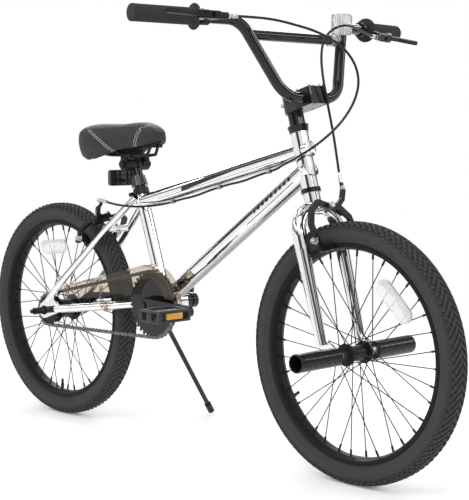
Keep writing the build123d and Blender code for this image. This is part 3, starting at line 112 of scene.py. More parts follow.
class BmxColours(bpy.types.PropertyGroup):
    """Colours of the finishes."""

    chrome: colour("Chrome", "Tint of the plated frame and fork", (0.84, 0.84, 0.835))
    gloss: colour("Gloss black", "Handlebar, stem, crank and pegs", (0.006, 0.006, 0.0065))
    satin: colour("Satin black", "Rims, hubs and small black parts", (0.009, 0.009, 0.0095))
    rubber: colour("Rubber", "Tyres and grips", (0.013, 0.0135, 0.014))
    saddle: colour("Saddle", "Saddle cover", (0.016, 0.016, 0.018))
    thread: colour("Thread", "Saddle stitching", (0.62, 0.63, 0.65))
    guard: colour("Guard", "Smoked plastic of the chain guard", (0.62, 0.54, 0.46))
    amber: colour("Amber", "Pedal reflectors", (0.95, 0.33, 0.02))
    floor: colour("Floor", "Studio floor", (0.93, 0.93, 0.93))


class BmxSizes(bpy.types.PropertyGroup):
    """Sizes of the modelled pieces."""

    tread_pitches: IntProperty(name="Tread pitches", description="Repeats of the tread round a tyre", default=104)
    tread_depth: FloatProperty(name="Tread depth", description="Height of the tread blocks", default=3 * MM,
                               unit="LENGTH")
    grip_rib: FloatProperty(name="Grip rib", description="Height of the ribs on the grips", default=0.8 * MM,
                            unit="LENGTH")
    weld_size: FloatProperty(name="Weld", description="Radius of the weld beads", default=1.6 * MM, unit="LENGTH")
    seam_offset: FloatProperty(name="Stitch spacing", description="Between the two rows of saddle stitching",
                               default=6.4 * MM, unit="LENGTH")


def colours():
    """The scene's colour settings."""
    return bpy.context.scene.bmx_colours


def sizes():
    """The scene's size settings."""
    return bpy.context.scene.bmx_sizes


# ---- shader maths ---------------------------------------------------------------------------
class Field:
    """A socket of a finish, with arithmetic."""

    def __init__(self, finish, socket):
        self.finish = finish
        self.socket = socket

    def maths(self, operation, *values):
        """A Math node on this finish."""
        return self.finish.node("ShaderNodeMath", {"operation": operation}, dict(enumerate(values)))

    def __add__(self, other):
        return self.maths("ADD", self, other)

    def __sub__(self, other):
        return self.maths("SUBTRACT", self, other)

    def __rsub__(self, other):
        return self.maths("SUBTRACT", other, self)

    def __mul__(self, other):
        return self.maths("MULTIPLY", self, other)

    def __truediv__(self, other):
        return self.maths("DIVIDE", self, other)

    def __pow__(self, other):
        return self.maths("POWER", self, other)

    def __lt__(self, other):
        return self.maths("LESS_THAN", self, other)

    def __gt__(self, other):
        return self.maths("GREATER_THAN", self, other)

    def __abs__(self):
        return self.maths("ABSOLUTE", self)

    __radd__ = __add__
    __rmul__ = __mul__

    def at_least(self, other):
        """The larger of this and other."""
        return self.maths("MAXIMUM", self, other)

    def root(self):
        """The square root."""
        return self.maths("SQRT", self)

    def reach(self, other):
        """The length of a right triangle's long side."""
        return (self * self + other * other).root()

    def wave(self):
        """The sine."""
        return self.maths("SINE", self)


class Tree:
    """A node tree that makes fields."""

    def __init__(self, tree):
        self.tree = tree

    def node(self, kind, settings=None, inputs=None, output=0):
        """A node with its settings and its sockets' values or links."""
        made = self.tree.nodes.new(kind)
        for key, value in (settings or {}).items():
            setattr(made, key, value)
        for key, value in (inputs or {}).items():
            self.feed(made.inputs[key], value)
        return Field(self, made.outputs[output])

    def feed(self, socket, value):
        """Link a field to a socket, or set its value."""
        if isinstance(value, Field):
            self.tree.links.new(value.socket, socket)
        else:
            socket.default_value = value

    def parted(self, vector):
        """A vector field as three fields."""
        split = self.tree.nodes.new("ShaderNodeSeparateXYZ")
        self.feed(split.inputs[0], vector)
        return [Field(self, socket) for socket in split.outputs]

    def eased(self, value, low, high, first, last):
        """A smooth step from first to last while a value goes from low to high."""
        return self.node("ShaderNodeMapRange", {"interpolation_type": "SMOOTHSTEP"},
                         {"Value": value, "From Min": low, "From Max": high, "To Min": first, "To Max": last})


class Finish(Tree):
    """A material with its node tree."""

    def __init__(self, name, base, roughness=0.5, metallic=0.0, **steady):
        self.material = bpy.data.materials.new(name)
        self.material.use_nodes = True
        super().__init__(self.material.node_tree)
        self.surface = self.tree.nodes["Principled BSDF"]
        self.where = None
        self.set("Base Color", (*base, 1))
        self.set("Roughness", roughness)
        self.set("Metallic", metallic)
        for socket, value in steady.items():
            self.set(socket.replace("_", " ").title(), value)

    def set(self, socket, value):
        """Feed one of the surface shader's sockets."""
        socket = {"Ior": "IOR", "Specular": "Specular IOR Level"}.get(socket, socket)
        self.feed(self.surface.inputs[socket], value)

    def position(self):
        """Object coordinates as one vector."""
        if self.where is None:
            self.where = self.node("ShaderNodeTexCoord", output="Object")
        return self.where

    def axes(self):
        """Object coordinates as three fields."""
        return self.parted(self.position())

    def noise(self, scale, detail=3.0):
        """Soft noise between 0 and 1."""
        return self.node("ShaderNodeTexNoise", inputs={"Vector": self.position(), "Scale": scale, "Detail": detail})

    def cells(self, scale, feature="F1", randomness=1.0):
        """Distance in a field of cells."""
        return self.node("ShaderNodeTexVoronoi", {"feature": feature},
                         {"Vector": self.position(), "Scale": scale, "Randomness": randomness})

    def blend(self, share, first, second):
        """A colour between two colours."""
        made = self.tree.nodes.new("ShaderNodeMix")
        made.data_type = "RGBA"
        self.feed(made.inputs[0], share)
        for index, value in ((6, first), (7, second)):
            self.feed(made.inputs[index], value if isinstance(value, Field) else (*value, 1))
        return Field(self, made.outputs[2])

    def relief(self, height, strength, distance):
        """Raise the surface by a height field."""
        self.set("Normal", self.node("ShaderNodeBump", inputs={"Height": height, "Strength": strength,
                                                                "Distance": distance}))


# ---- finishes -------------------------------------------------------------------------------
def worn(name, base, roughness, spread, scale=60.0, lift=1.35, **steady):
    """A plain finish whose colour and roughness vary in soft patches."""
    finish = Finish(name, base, **steady)
    patches = finish.noise(scale, 5)
    finish.set("Roughness", patches * spread + (roughness - spread / 2))
    lighter = tuple(min(1.0, channel * lift + 0.001) for channel in base)
    finish.set("Base Color", finish.blend(patches, base, lighter))
    return finish


def plating(name):
    """Bright plating with the faint ripple of polished tube, and its roughness field."""
    finish = Finish(name, colours().chrome, metallic=1.0)
    finish.relief(finish.noise(28, 2), 0.05, 0.002)
    return finish, finish.noise(90, 4) * 0.07 + 0.03


def chrome_plate():
    """Plain plating of the frame and fork."""
    finish, haze = plating("chrome_plate")
    finish.set("Roughness", haze)
    return finish


def banded_chrome(name, foot, normal, radius, bands):
    """Plating with black bands laid on by a mask, and painted shade darkening the tube's underside."""
    finish, haze = plating(name)
    x, y, z = finish.axes()
    height = (x - foot.x) * normal.x + (z - foot.z) * normal.z
    mask = bands(x, y, height)
    # painted shade: the plating's colour goes dark towards the underside of the tube
    shade = finish.eased(height / -radius, 0.55, 1.0, 0.0, 0.78)
    shaded_plate = finish.blend(shade, colours().chrome, (0.16, 0.155, 0.15))
    finish.set("Base Color", finish.blend(mask, shaded_plate, colours().gloss))
    finish.set("Metallic", 1 - mask)
    finish.set("Roughness", mask * 0.2 + haze)
    return finish


def top_tube_chrome():
    """The top tube's plating with its long tapered stripe and two pinstripes."""

    def bands(x, y, height):
        middle = x.maths("MINIMUM", (x + 0.019) * 0.050 - 0.0012, 0.0070)
        width = (x - 0.14).at_least(0.0) * -0.0150 + 0.0052
        stripe = (abs(height - middle) < width) * (x > -0.019) * (x < 0.322)
        pin = (abs(height - 0.0085) < 0.0006) * (x > -0.12) * (x < 0.10)
        low_pin = (abs(height + 0.0062) < 0.0005) * (x > -0.10) * (x < 0.26)
        return (stripe + pin + low_pin) * (abs(y) > 0.002)

    return banded_chrome("top_tube_chrome", TOP_TUBE_FRONT, TOP_TUBE_NORMAL, TOP_TUBE_RADIUS, bands)


def down_tube_chrome():
    """The down tube's plating with a broken stripe near the head."""

    def bands(x, y, height):
        slant = (x * 520 + height * 300).wave()
        dashes = (abs(height - 0.0050) < 0.0042) * (x > 0.205) * (x < 0.308) * (slant > -0.25)
        line = (abs(height + 0.0065) < 0.0008) * (x > 0.185) * (x < 0.315)
        return (dashes + line) * (abs(y) > 0.004)

    return banded_chrome("down_tube_chrome", DOWN_TUBE_FRONT, DOWN_TUBE_NORMAL, DOWN_TUBE_RADIUS, bands)


def gloss_black():
    """Deep gloss black, as on painted steel."""
    base = colours().gloss
    finish = worn("gloss_black", base, 0.11, 0.05, specular=0.30, coat_weight=0.15, coat_roughness=0.03)
    finish.relief(finish.noise(160, 3), 0.04, 0.001)
    return finish


def satin_black():
    """Satin black with a fine powder texture."""
    base = colours().satin
    finish = worn("satin_black", base, 0.36, 0.14, 80, specular=0.22)
    finish.relief(finish.noise(900, 3), 0.10, 0.0004)
    return finish


def moulded_black():
    """Matt moulded plastic."""
    base = colours().satin
    finish = worn("moulded_black", base, 0.46, 0.12, 50, specular=0.28)
    finish.relief(finish.cells(1600), 0.18, 0.0003)
    return finish


def pedal_plastic():
    """Scuffed grey-black plastic of the pedals."""
    base = (0.022, 0.022, 0.024)
    finish = worn("pedal_plastic", base, 0.40, 0.16, 90, 1.6, specular=0.4)
    finish.relief(finish.cells(900), 0.15, 0.0003)
    return finish


def peg_black():
    """Gloss black pegs with rows of short bright grip marks."""
    base = colours().gloss
    finish = worn("peg_black", base, 0.22, 0.08, specular=0.30)
    x, y, z = finish.axes()
    rows = (abs(z - 0.2630) < 0.0008) + (abs(z - 0.2480) < 0.0008)
    marks = rows * ((abs(y) * 340 + z * 120).wave() > 0.80) * (abs(y) > 0.066) * (x > WHEEL_STANCE + 0.002)
    finish.set("Base Color", finish.blend(marks, base, (0.16, 0.16, 0.16)))
    finish.relief(marks, 0.4, 0.0005)
    return finish


def zinc_steel():
    """Bright zinc on nuts, bolts and axles."""
    base = (0.50, 0.50, 0.49)
    finish = worn("zinc_steel", base, 0.28, 0.16, 240, 1.2, metallic=1.0)
    finish.relief(finish.noise(700, 2), 0.08, 0.0004)
    return finish


def oiled_steel():
    """The chain's grey steel with oil in its gaps."""
    base = (0.105, 0.100, 0.095)
    finish = worn("oiled_steel", base, 0.34, 0.20, 300, 2.0, metallic=0.9)
    finish.relief(finish.noise(900, 2), 0.10, 0.0004)
    return finish


def wheel_radius(x, z):
    """Distance from the nearer wheel's axis."""
    return (abs(x) - WHEEL_STANCE).reach(z - FRONT_HUB.z)


def tyre_rubber():
    """Tyre rubber with moulded rings and dust on the tread."""
    base = colours().rubber
    finish = Finish("tyre_rubber", base, specular=0.22)
    x, _, z = finish.axes()
    radius = wheel_radius(x, z)
    dust = finish.noise(45, 5) * (radius > 0.2525)
    finish.set("Base Color", finish.blend(dust * 0.5, base, (0.026, 0.026, 0.026)))
    finish.set("Roughness", finish.noise(120, 4) * 0.22 + 0.56)
    rings = (radius * 2400).wave() * (abs(radius - 0.2325) < 0.0055)
    finish.relief(rings * 0.5 + finish.noise(1300, 3) * 0.5, 0.35, 0.0005)
    return finish


def grip_rubber():
    """Soft grip rubber with a fine diamond texture."""
    base = colours().rubber
    finish = worn("grip_rubber", base, 0.60, 0.12, 90, specular=0.25)
    _, y, z = finish.axes()
    diamond = (y * 2200 + z * 2200).wave() * (y * 2200 - z * 2200).wave()
    finish.relief(diamond, 0.30, 0.0004)
    return finish


def saddle_vinyl():
    """Grained vinyl with two double rows of stitching."""
    base = colours().saddle
    finish = Finish("saddle_vinyl", base, 0.5, specular=0.35)
    x, y, z = finish.axes()
    rear_drop = (0.690 - z).at_least(0.0) ** 0.66
    front_drop = (0.693 - z).at_least(0.0).root()
    rear = abs(x - (rear_drop * 0.560 - 0.290))
    front = abs(x - (front_drop * -0.115 - 0.128))
    half = sizes().seam_offset / 2
    rows = (abs(rear - half) < 0.00075) + (abs(front - half) < 0.00075)
    dashes = ((abs(y) * 1500 + z * 1500).wave() > -0.55) * (z > 0.630)
    thread = rows * dashes
    groove = (rear < 0.0008) + (front < 0.0008)
    grain = finish.cells(620, "DISTANCE_TO_EDGE")
    finish.set("Base Color", finish.blend(thread, finish.blend(finish.noise(30, 4), base, (0.028, 0.028, 0.030)),
                                          colours().thread))
    finish.set("Roughness", finish.noise(80, 3) * 0.16 + 0.42 + thread * 0.25)
    finish.relief(grain * 2.5 + thread * 1.5 - groove * 1.6, 0.42, 0.0007)
    return finish


def smoked_plastic():
    """Smoked see-through plastic of the chain guard."""
    finish = Finish("smoked_plastic", colours().guard, ior=1.30, transmission_weight=1.0)
    finish.set("Roughness", finish.noise(40, 4) * 0.04 + 0.01)
    _, y, z = finish.axes()
    edge = (y > -0.034) + (z > 0.386)
    finish.set("Base Color", finish.blend(edge * 0.75, colours().guard, (0.30, 0.24, 0.19)))
    finish.relief(finish.noise(300, 2), 0.03, 0.0004)
    return finish


def prism(name, tint, clearness):
    """Moulded reflector plastic with small prisms, and the prisms' height field."""
    finish = Finish(name, tint, 0.12, coat_weight=0.8, coat_roughness=0.05, transmission_weight=clearness)
    x, y, z = finish.axes()
    height = (x * 1400 + y * 1400).wave() * (z * 1600).wave()
    finish.relief(height, 0.6, 0.0006)
    return finish, height


def amber_prism():
    """Amber reflector plastic, with painted light and shade on its prisms."""
    tint = colours().amber
    finish, height = prism("amber_prism", tint, 0.1)
    # painted light and shade: dark and bright are shaded and lit copies of the amber, set by the prism heights
    dark = tuple(channel * 0.55 for channel in tint)
    bright = tuple(min(1.0, channel * 1.5) for channel in tint)
    finish.set("Base Color", finish.blend(height * 0.5 + 0.5, dark, bright))
    return finish


def clear_prism():
    """White reflector plastic, with vertical bands of painted highlight and shade."""
    finish, _ = prism("clear_prism", (0.80, 0.82, 0.84), 0.75)
    _, y, z = finish.axes()
    # painted highlight and shade: vertical bands from grey to near white across the lens
    painted_facet_light = (y * 900 + z * 60).wave() * 0.5 + 0.5
    finish.set("Base Color", finish.blend(painted_facet_light, (0.42, 0.43, 0.44), (0.96, 0.97, 0.98)))
    return finish


def rear_lens():
    """The rear reflector: red lens behind, black shell in front; the lens has painted light and shade on a grid of
    prisms.
    """
    finish, _ = prism("rear_lens", (0.62, 0.010, 0.012), 0.0)
    x, y, z = finish.axes()
    # painted light and shade: the red lens colour goes from a shaded to a lit red over a grid of prisms
    painted_facet_grid = (y * 1400).wave() * (z * 1600).wave()
    lens = (x < -0.2385) * (abs(y) < 0.0355) * (z > 0.5615) * (z < 0.5905)
    red = finish.blend(painted_facet_grid * 0.5 + 0.5, (0.40, 0.004, 0.006), (0.80, 0.020, 0.018))
    finish.set("Base Color", finish.blend(lens, colours().satin, red))
    finish.set("Roughness", 0.5 - lens * 0.36)
    return finish


def spoke_reflector():
    """Thin clear plastic of the spoke reflectors."""
    finish = Finish("spoke_reflector", (0.86, 0.87, 0.88), 0.2, specular=0.5)
    x, _, z = finish.axes()
    rim = abs(wheel_radius(x, z) - 0.1500) > 0.0105
    finish.set("Alpha", finish.noise(60, 2) * 0.20 + 0.38 + rim * 0.25)
    finish.set("Base Color", finish.blend(rim, (0.80, 0.81, 0.82), (0.62, 0.63, 0.64)))
    finish.relief((x * 700).wave() * (z * 700).wave(), 0.4, 0.0006)
    return finish


def rim_black():
    """Satin black rims, dull enough not to mirror the floor."""
    base = colours().satin
    finish = worn("rim_black", base, 0.42, 0.12, 80, specular=0.10)
    finish.relief(finish.noise(700, 3), 0.06, 0.0004)
    return finish


def cable_black():
    """Gloss sheath of the brake cables."""
    base = colours().gloss
    return worn("cable_black", base, 0.25, 0.12, 200, specular=0.3)


def studio_floor():
    """Pale matt floor."""
    base = colours().floor
    finish = Finish("studio_floor", base, 0.85)
    finish.set("Base Color", finish.blend(finish.noise(3, 2), base, tuple(c * 0.985 for c in base)))
    finish.set("Emission Color", (1, 1, 1, 1))
    finish.set("Emission Strength", 0.16)
    x, y, _ = finish.axes()
    finish.set("Alpha", finish.eased(x.reach(y), 0.9, 2.2, 1.0, 0.0))
    return finish


def finish_of(maker):
    """The material that a maker gives, made once."""
    return bpy.data.materials.get(maker.__name__) or maker().material


# ---- shaping helpers ------------------------------------------------------------------------
def matrix_at(origin, along):
    """A placement with its Z axis along a direction."""
    up = along.normalized()
    side = up.orthogonal().normalized()
    return Matrix.Translation(origin) @ Matrix((side, up.cross(side), up)).transposed().to_4x4()


def turned(form, origin, axis, outline, steps, closed=False):
    """Spin an outline of (along, radius) points about an axis."""
    across = axis.orthogonal().normalized()
    corners = [form.verts.new(origin + axis * along + across * radius) for along, radius in outline]
    pairs = list(zip(corners[:-1], corners[1:]))
    if closed:
        pairs.append((corners[-1], corners[0]))
    edges = [form.edges.new(pair) for pair in pairs]
    bmesh.ops.spin(form, geom=corners + edges, cent=origin, axis=axis, angle=math.tau, steps=steps,
                   use_merge=True, use_duplicate=False)


def rod(form, start, end, radius, end_radius=None, segments=8, bevel=0.0):
    """A round or many-sided bar between two points."""
    place = matrix_at((start + end) / 2, end - start)
    made = bmesh.ops.create_cone(form, cap_ends=True, segments=segments, radius1=radius,
                                 radius2=end_radius or radius, depth=(end - start).length, matrix=place)
    if bevel:
        rims = {edge for vert in made["verts"] for edge in vert.link_edges
                if any(len(face.verts) > 4 for face in edge.link_faces)}
        bmesh.ops.bevel(form, geom=list(rims), offset=bevel, segments=2, affect="EDGES", profile=0.5, material=-1)


def block(form, place, size, bevel, segments=1):
    """A box with eased edges at a placement."""
    made = bmesh.ops.create_cube(form, size=1, matrix=place @ Matrix.Diagonal((*size, 1)))
    edges = {edge for vert in made["verts"] for edge in vert.link_edges}
    bmesh.ops.bevel(form, geom=list(edges), offset=bevel, segments=segments, affect="EDGES", profile=0.5,
                    material=-1)


def piece(name, form, body, maker, replaced=(), angle=40.0):
    """Turn a bmesh into a piece that rides on a body."""
    bmesh.ops.remove_doubles(form, verts=form.verts, dist=1e-6)
    bmesh.ops.recalc_face_normals(form, faces=form.faces)
    mesh = bpy.data.meshes.new(name)
    form.to_mesh(mesh)
    form.free()
    return settle(name, mesh, body, maker, replaced, angle)


def settle(name, mesh, body, maker, replaced=(), angle=40.0):
    """Give a mesh its finish and its body."""
    made = bpy.data.objects.new(name, mesh)
    bpy.context.scene.collection.objects.link(made)
    mesh.materials.append(finish_of(maker))
    mesh.polygons.foreach_set("use_smooth", [True] * len(mesh.polygons))
    mesh.set_sharp_from_angle(angle=math.radians(angle))
    if body:
        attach(made, body)
    if replaced:
        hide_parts(*replaced)
    return made


def sweep_mesh(name, points, radius, cyclic=False):
    """A round cord mesh along a smooth line of points, or round a closed loop of them."""
    curve = bpy.data.curves.new(name, "CURVE")
    curve.dimensions = "3D"
    curve.bevel_depth = radius
    curve.bevel_resolution = 3
    curve.use_fill_caps = not cyclic
    line = curve.splines.new("POLY" if cyclic else "NURBS")
    line.points.add(len(points) - 1)
    for spot, point in zip(line.points, points):
        spot.co = (*point, 1)
    line.use_cyclic_u = cyclic
    if not cyclic:
        line.order_u = 3
        line.use_endpoint_u = True
    line.resolution_u = 8
    holder = bpy.data.objects.new(name + "_line", curve)
    bpy.context.scene.collection.objects.link(holder)
    bpy.context.view_layer.update()
    mesh = bpy.data.meshes.new_from_object(holder.evaluated_get(bpy.context.evaluated_depsgraph_get()))
    mesh.name = name
    bpy.data.objects.remove(holder)
    bpy.data.curves.remove(curve)
    return mesh


def mirrored(point, side):
    """A point moved to the given side."""
    return Vector((point.x, side * point.y, point.z))


# ---- pieces ---------------------------------------------------------------------------------
def make_tyre(name, hub, body, node):
    """A tyre with its casing, rim beads and tread blocks."""
    form = bmesh.new()
    pitches = sizes().tread_pitches
    depth = sizes().tread_depth
    step = math.tau / pitches
    rows = (
        (0.0038, 34, TYRE_RADIUS, 0, (0.0108, 0.0058), 0.0),
        (0.0104, 28, TYRE_RADIUS - 0.0004, 10, (0.0104, 0.0052), 0.5),
        (0.0164, 18, TYRE_RADIUS - 0.0026, 30, (0.0098, 0.0050), 0.0),
        (0.0207, 8, TYRE_RADIUS - 0.0064, 52, (0.0078, 0.0056), 0.5),
        (0.0232, 0, TYRE_RADIUS - 0.0118, 72, (0.0040, 0.0062), 0.0),
    )
    for side in SIDES:
        for across, slew, radius, tilt, size, shift in rows:
            turn = (shift + (0.25 if side > 0 else 0.0)) * step
            place = (Matrix.Translation(hub) @ Matrix.Rotation(turn, 4, "Y")
                     @ Matrix.Translation((0, side * across, radius))
                     @ Matrix.Rotation(math.radians(-side * tilt), 4, "X")
                     @ Matrix.Rotation(math.radians(side * slew), 4, "Z")
                     @ Matrix.Translation((0, 0, -depth * 0.72)))
            block(form, place, (*size, depth * 1.4), 0.0006)
    geometry = list(form.verts) + list(form.edges) + list(form.faces)
    bmesh.ops.spin(form, geom=geometry, cent=hub, axis=Y, angle=math.tau - step, steps=pitches - 1,
                   use_duplicate=True)
    half = [(0.0, 0.2520), (0.0085, 0.2515), (0.0140, 0.2497), (0.0185, 0.2462), (0.0216, 0.2418),
            (0.0226, 0.2408), (0.0228, 0.2394), (0.0236, 0.2388), (0.0243, 0.2350), (0.0244, 0.2318),
            (0.0240, 0.2275), (0.0234, 0.2262), (0.0232, 0.2248), (0.0222, 0.2240), (0.0200, 0.2190),
            (0.0172, 0.2152), (0.0147, 0.2143), (0.0146, 0.2075)]
    inner = [(0.0118, 0.2075), (0.0118, 0.2150), (0.0165, 0.2200), (0.0208, 0.2290), (0.0207, 0.2370),
             (0.0165, 0.2450), (0.0090, 0.2487), (0.0, 0.2490)]
    left = half + inner
    outline = left + [(-along, radius) for along, radius in reversed(left[1:-1])]
    turned(form, hub, Y, outline, 144, closed=True)
    return piece(name, form, body, tyre_rubber, (node,), 35)


def chain_pins():
    """Pin positions round the chain's loop."""
    gap = BRACKET - REAR_HUB
    rise = math.atan2(gap.z, gap.x)
    lean = math.asin((RING_RADIUS - SPROCKET_RADIUS) / gap.length)
    straight = gap.length * math.cos(lean)
    ring_arc = (math.pi + 2 * lean) * RING_RADIUS
    rear_arc = (math.pi - 2 * lean) * SPROCKET_RADIUS
    total = 2 * straight + ring_arc + rear_arc
    upper = rise + math.pi / 2 + lean
    lower = rise - math.pi / 2 - lean
    first = RING_RADIUS * upper
    pins = []
    for index in range(CHAIN_LINKS):
        gone = (index * total / CHAIN_LINKS + first) % total
        run = 0.0
        if gone < ring_arc:
            centre, radius, angle = BRACKET, RING_RADIUS, upper - gone / RING_RADIUS
        elif gone < ring_arc + straight:
            centre, radius, angle, run = BRACKET, RING_RADIUS, lower, gone - ring_arc
        elif gone < ring_arc + straight + rear_arc:
            centre, radius = REAR_HUB, SPROCKET_RADIUS
            angle = lower - (gone - ring_arc - straight) / SPROCKET_RADIUS
        else:
            centre, radius, angle, run = REAR_HUB, SPROCKET_RADIUS, upper, gone - total + straight
        normal = Vector((math.cos(angle), 0, math.sin(angle)))
        pins.append(centre + normal * radius + Vector((normal.z, 0, -normal.x)) * run + Y * CHAIN_LINE)
    return pins


def make_chain():
    """The chain's links: waisted plates, rollers and pins."""
    form = bmesh.new()
    pins = chain_pins()
    for index, here in enumerate(pins):
        after = pins[(index + 1) % len(pins)]
        along = (after - here).normalized()
        rise = Y.cross(along)
        offset, thick = ((0.0034, 0.0009), (0.0023, 0.0009))[index % 2]
        for side in SIDES:
            spots = []
            for end, turn in ((here, -1), (after, 1)):
                for angle in (-80, -30, 30, 80):
                    swing = math.radians(angle)
                    spots.append(end + along * (turn * math.cos(swing) * 0.0042)
                                 + rise * (turn * math.sin(swing) * 0.0042))
                spots.append((here + after) / 2 + rise * (turn * 0.0024))
            low = [form.verts.new(spot + Y * side * offset) for spot in spots]
            face = form.faces.new(low)
            made = bmesh.ops.extrude_face_region(form, geom=[face])
            shifted = [item for item in made["geom"] if isinstance(item, bmesh.types.BMVert)]
            bmesh.ops.translate(form, verts=shifted, vec=Y * side * thick)
        rod(form, here - Y * 0.0044, here + Y * 0.0044, 0.0017)
        rod(form, here - Y * 0.0021, here + Y * 0.0021, 0.0038, segments=10)
    return piece("chain_links", form, "frame", oiled_steel, ("chain",), 30)


def make_grips():
    """Ribbed grips with round flanges."""
    form = bmesh.new()
    rib = sizes().grip_rib
    for side in SIDES:
        outward = mirrored((BAR_END - RISER_TOP).normalized(), side)
        start = mirrored(BAR_END, side) - outward * GRIP_LENGTH
        outline = [(0.0, 0.0112), (0.0, 0.0225), (0.0008, 0.0243), (0.0025, 0.0250), (0.0042, 0.0243),
                   (0.0050, 0.0225), (0.0062, 0.0178), (0.0090, 0.0160)]
        for index in range(22):
            along = 0.012 + index * 0.0053
            outline += [(along, 0.0163 - rib), (along + 0.0009, 0.0163), (along + 0.0034, 0.0163),
                        (along + 0.0043, 0.0163 - rib)]
        outline += [(0.1290, 0.0156), (0.1295, 0.0165), (0.1340, 0.0165), (0.1358, 0.0154), (0.1365, 0.0120),
                    (0.1365, 0.0)]
        turned(form, start, outward, outline, 40)
    return piece("bar_grips", form, "fork", grip_rubber, ("grips",), 32)


def make_saddle():
    """The padded saddle, swollen a little over its base."""
    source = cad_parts["saddle_cover"]
    form = bmesh.new()
    form.from_mesh(source.data)
    bmesh.ops.remove_doubles(form, verts=form.verts, dist=1e-5)
    mesh = bpy.data.meshes.new("saddle_pad")
    form.to_mesh(mesh)
    form.free()
    pad = bpy.data.objects.new("saddle_pad", mesh)
    bpy.context.scene.collection.objects.link(pad)
    remesh = pad.modifiers.new("even", "REMESH")
    remesh.mode = "VOXEL"
    remesh.voxel_size = 3.5 * MM
    soften = pad.modifiers.new("soften", "SMOOTH")
    soften.factor = 0.5
    soften.iterations = 10
    apply_modifiers(pad)
    round_off(pad.data)
    free = [vert.co.z > 0.6625 or abs(vert.normal.z) < 0.5 and vert.co.z > 0.640 for vert in pad.data.vertices]
    swell(pad, free, 4.0, 0.004)
    smooth = pad.modifiers.new("finer", "SUBSURF")
    smooth.levels = smooth.render_levels = 1
    apply_modifiers(pad)
    mesh = pad.data
    bpy.data.objects.remove(pad)
    made = settle("saddle_pad", mesh, "seat", saddle_vinyl, ("saddle_cover",), 80)
    return made


def round_off(mesh):
    """Round a saddle's nose, tail and top edges."""
    low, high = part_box("saddle_cover")
    length = high[0] - low[0]
    widths = [0.001] * 41
    for vert in mesh.vertices:
        share = max(0, min(40, round((vert.co.x - low[0]) / length * 40)))
        widths[share] = max(widths[share], abs(vert.co.y))
    for vert in mesh.vertices:
        share = (vert.co.x - low[0]) / length
        width = widths[max(0, min(40, round(share * 40)))]
        side = min(1.0, abs(vert.co.y) / width)
        above = max(0.0, min(1.0, (vert.co.z - 0.650) / 0.045))
        vert.co.z -= above * 0.016 * (1 - (1 - side ** 3) ** 0.5)
        tail = max(0.0, min(1.0, (0.24 - share) / 0.24))
        vert.co.z += (0.652 - vert.co.z) * (1 - (1 - tail ** 2.4) ** 0.5) * 0.62
        nose = max(0.0, min(1.0, (share - 0.74) / 0.26))
        droop = 0.70 if vert.co.z > 0.676 else 0.22
        vert.co.z += (0.676 - vert.co.z) * (1 - (1 - nose ** 2.2) ** 0.5) * droop
        bulge = min(1.0, ((vert.co.z - 0.660) / 0.042) ** 2)
        vert.co.y *= 1 - 0.14 * bulge - 0.03
        vert.co.x += (-0.215 - vert.co.x) * (0.07 * bulge + 0.012)


def apply_modifiers(thing):
    """Replace a thing's mesh by its modified one."""
    bpy.context.view_layer.update()
    mesh = bpy.data.meshes.new_from_object(thing.evaluated_get(bpy.context.evaluated_depsgraph_get()))
    thing.modifiers.clear()
    thing.data = mesh


def swell(pad, free, pressure, cap):
    """Blow a pad's free points up with cloth pressure, none moving further than a cap."""
    cloth = pad.modifiers.new("cloth", "CLOTH")
    cloth.settings.use_pressure = True
    cloth.settings.uniform_pressure_force = pressure
    cloth.settings.effector_weights.gravity = 0
    for tick in range(1, 21):
        bpy.context.scene.frame_set(tick)
    puffed = pad.evaluated_get(bpy.context.evaluated_depsgraph_get()).to_mesh()
    moved = [vert.co.copy() for vert in puffed.vertices]
    pad.modifiers.remove(cloth)
    for vert, target, loose in zip(pad.data.vertices, moved, free):
        shift = target - vert.co
        if shift.length > cap:
            shift *= cap / shift.length
        vert.co += shift * loose * 0.6
    bpy.context.scene.frame_set(1)


def make_pedal(name, middle, side, body, node):
    """A cage pedal: barrel, rails, cross ribs and end caps."""
    form = bmesh.new()

    def bar(x, y, z, size, bevel=0.0012):
        block(form, Matrix.Translation(middle + Vector((x, y, z))), size, bevel, 2)

    for end in SIDES:
        for level in SIDES:
            bar(end * 0.0275, 0, level * 0.0098, (0.0095, 0.086, 0.0056))
            bar(0, end * 0.0390, level * 0.0102, (0.062, 0.0085, 0.0058), 0.0022)
            for notch in range(-4, 5):
                bar(end * 0.0275, notch * 0.0092, level * 0.01215, (0.0078, 0.0042, 0.0016), 0.0004)
        bar(end * 0.0245, 0, 0, (0.0040, 0.086, 0.018))
        bar(end * 0.0170, 0, 0, (0.0220, 0.009, 0.0180))
        for offset in (-0.020, 0.020):
            bar(end * 0.0170, offset, 0, (0.0220, 0.0050, 0.0160))
        for web in (-0.0285, 0, 0.0285):
            bar(web, end * 0.0390, 0, (0.0075 if web else 0.016, 0.0080, 0.0200), 0.0014)
    rod(form, middle - Y * 0.038, middle + Y * 0.038, 0.0108, segments=28, bevel=0.0008)
    rod(form, middle + Y * side * 0.0380, middle + Y * side * 0.0440, 0.0085, 0.0078, 28, 0.0006)
    return piece(name, form, body, pedal_plastic, (node,), 35)


def make_pedal_reflectors(name, centre, body):
    """Two amber lenses on a pedal's rails."""
    form = bmesh.new()
    for end in SIDES:
        place = Matrix.Translation(centre + X * end * 0.0288)
        block(form, place, (0.0060, 0.043, 0.0135), 0.0012, 2)
    return piece(name, form, body, amber_prism, angle=35)


def weld_line(start, end, radius, other, other_along, other_radius):
    """Points where a tube from start towards end meets another tube's wall."""
    along = (end - start).normalized()
    normal = along.cross(Y).normalized()
    points = []
    for index in range(40):
        turn = math.tau * index / 40
        spot = start + (normal * math.cos(turn) + Y * math.sin(turn)) * radius
        gap = spot - other
        across = along - other_along * along.dot(other_along)
        lean = gap - other_along * gap.dot(other_along)
        a, b, c = across.dot(across), 2 * across.dot(lean), lean.dot(lean) - other_radius ** 2
        points.append(spot + along * ((-b - math.sqrt(max(0.0, b * b - 4 * a * c))) / (2 * a)))
    return points


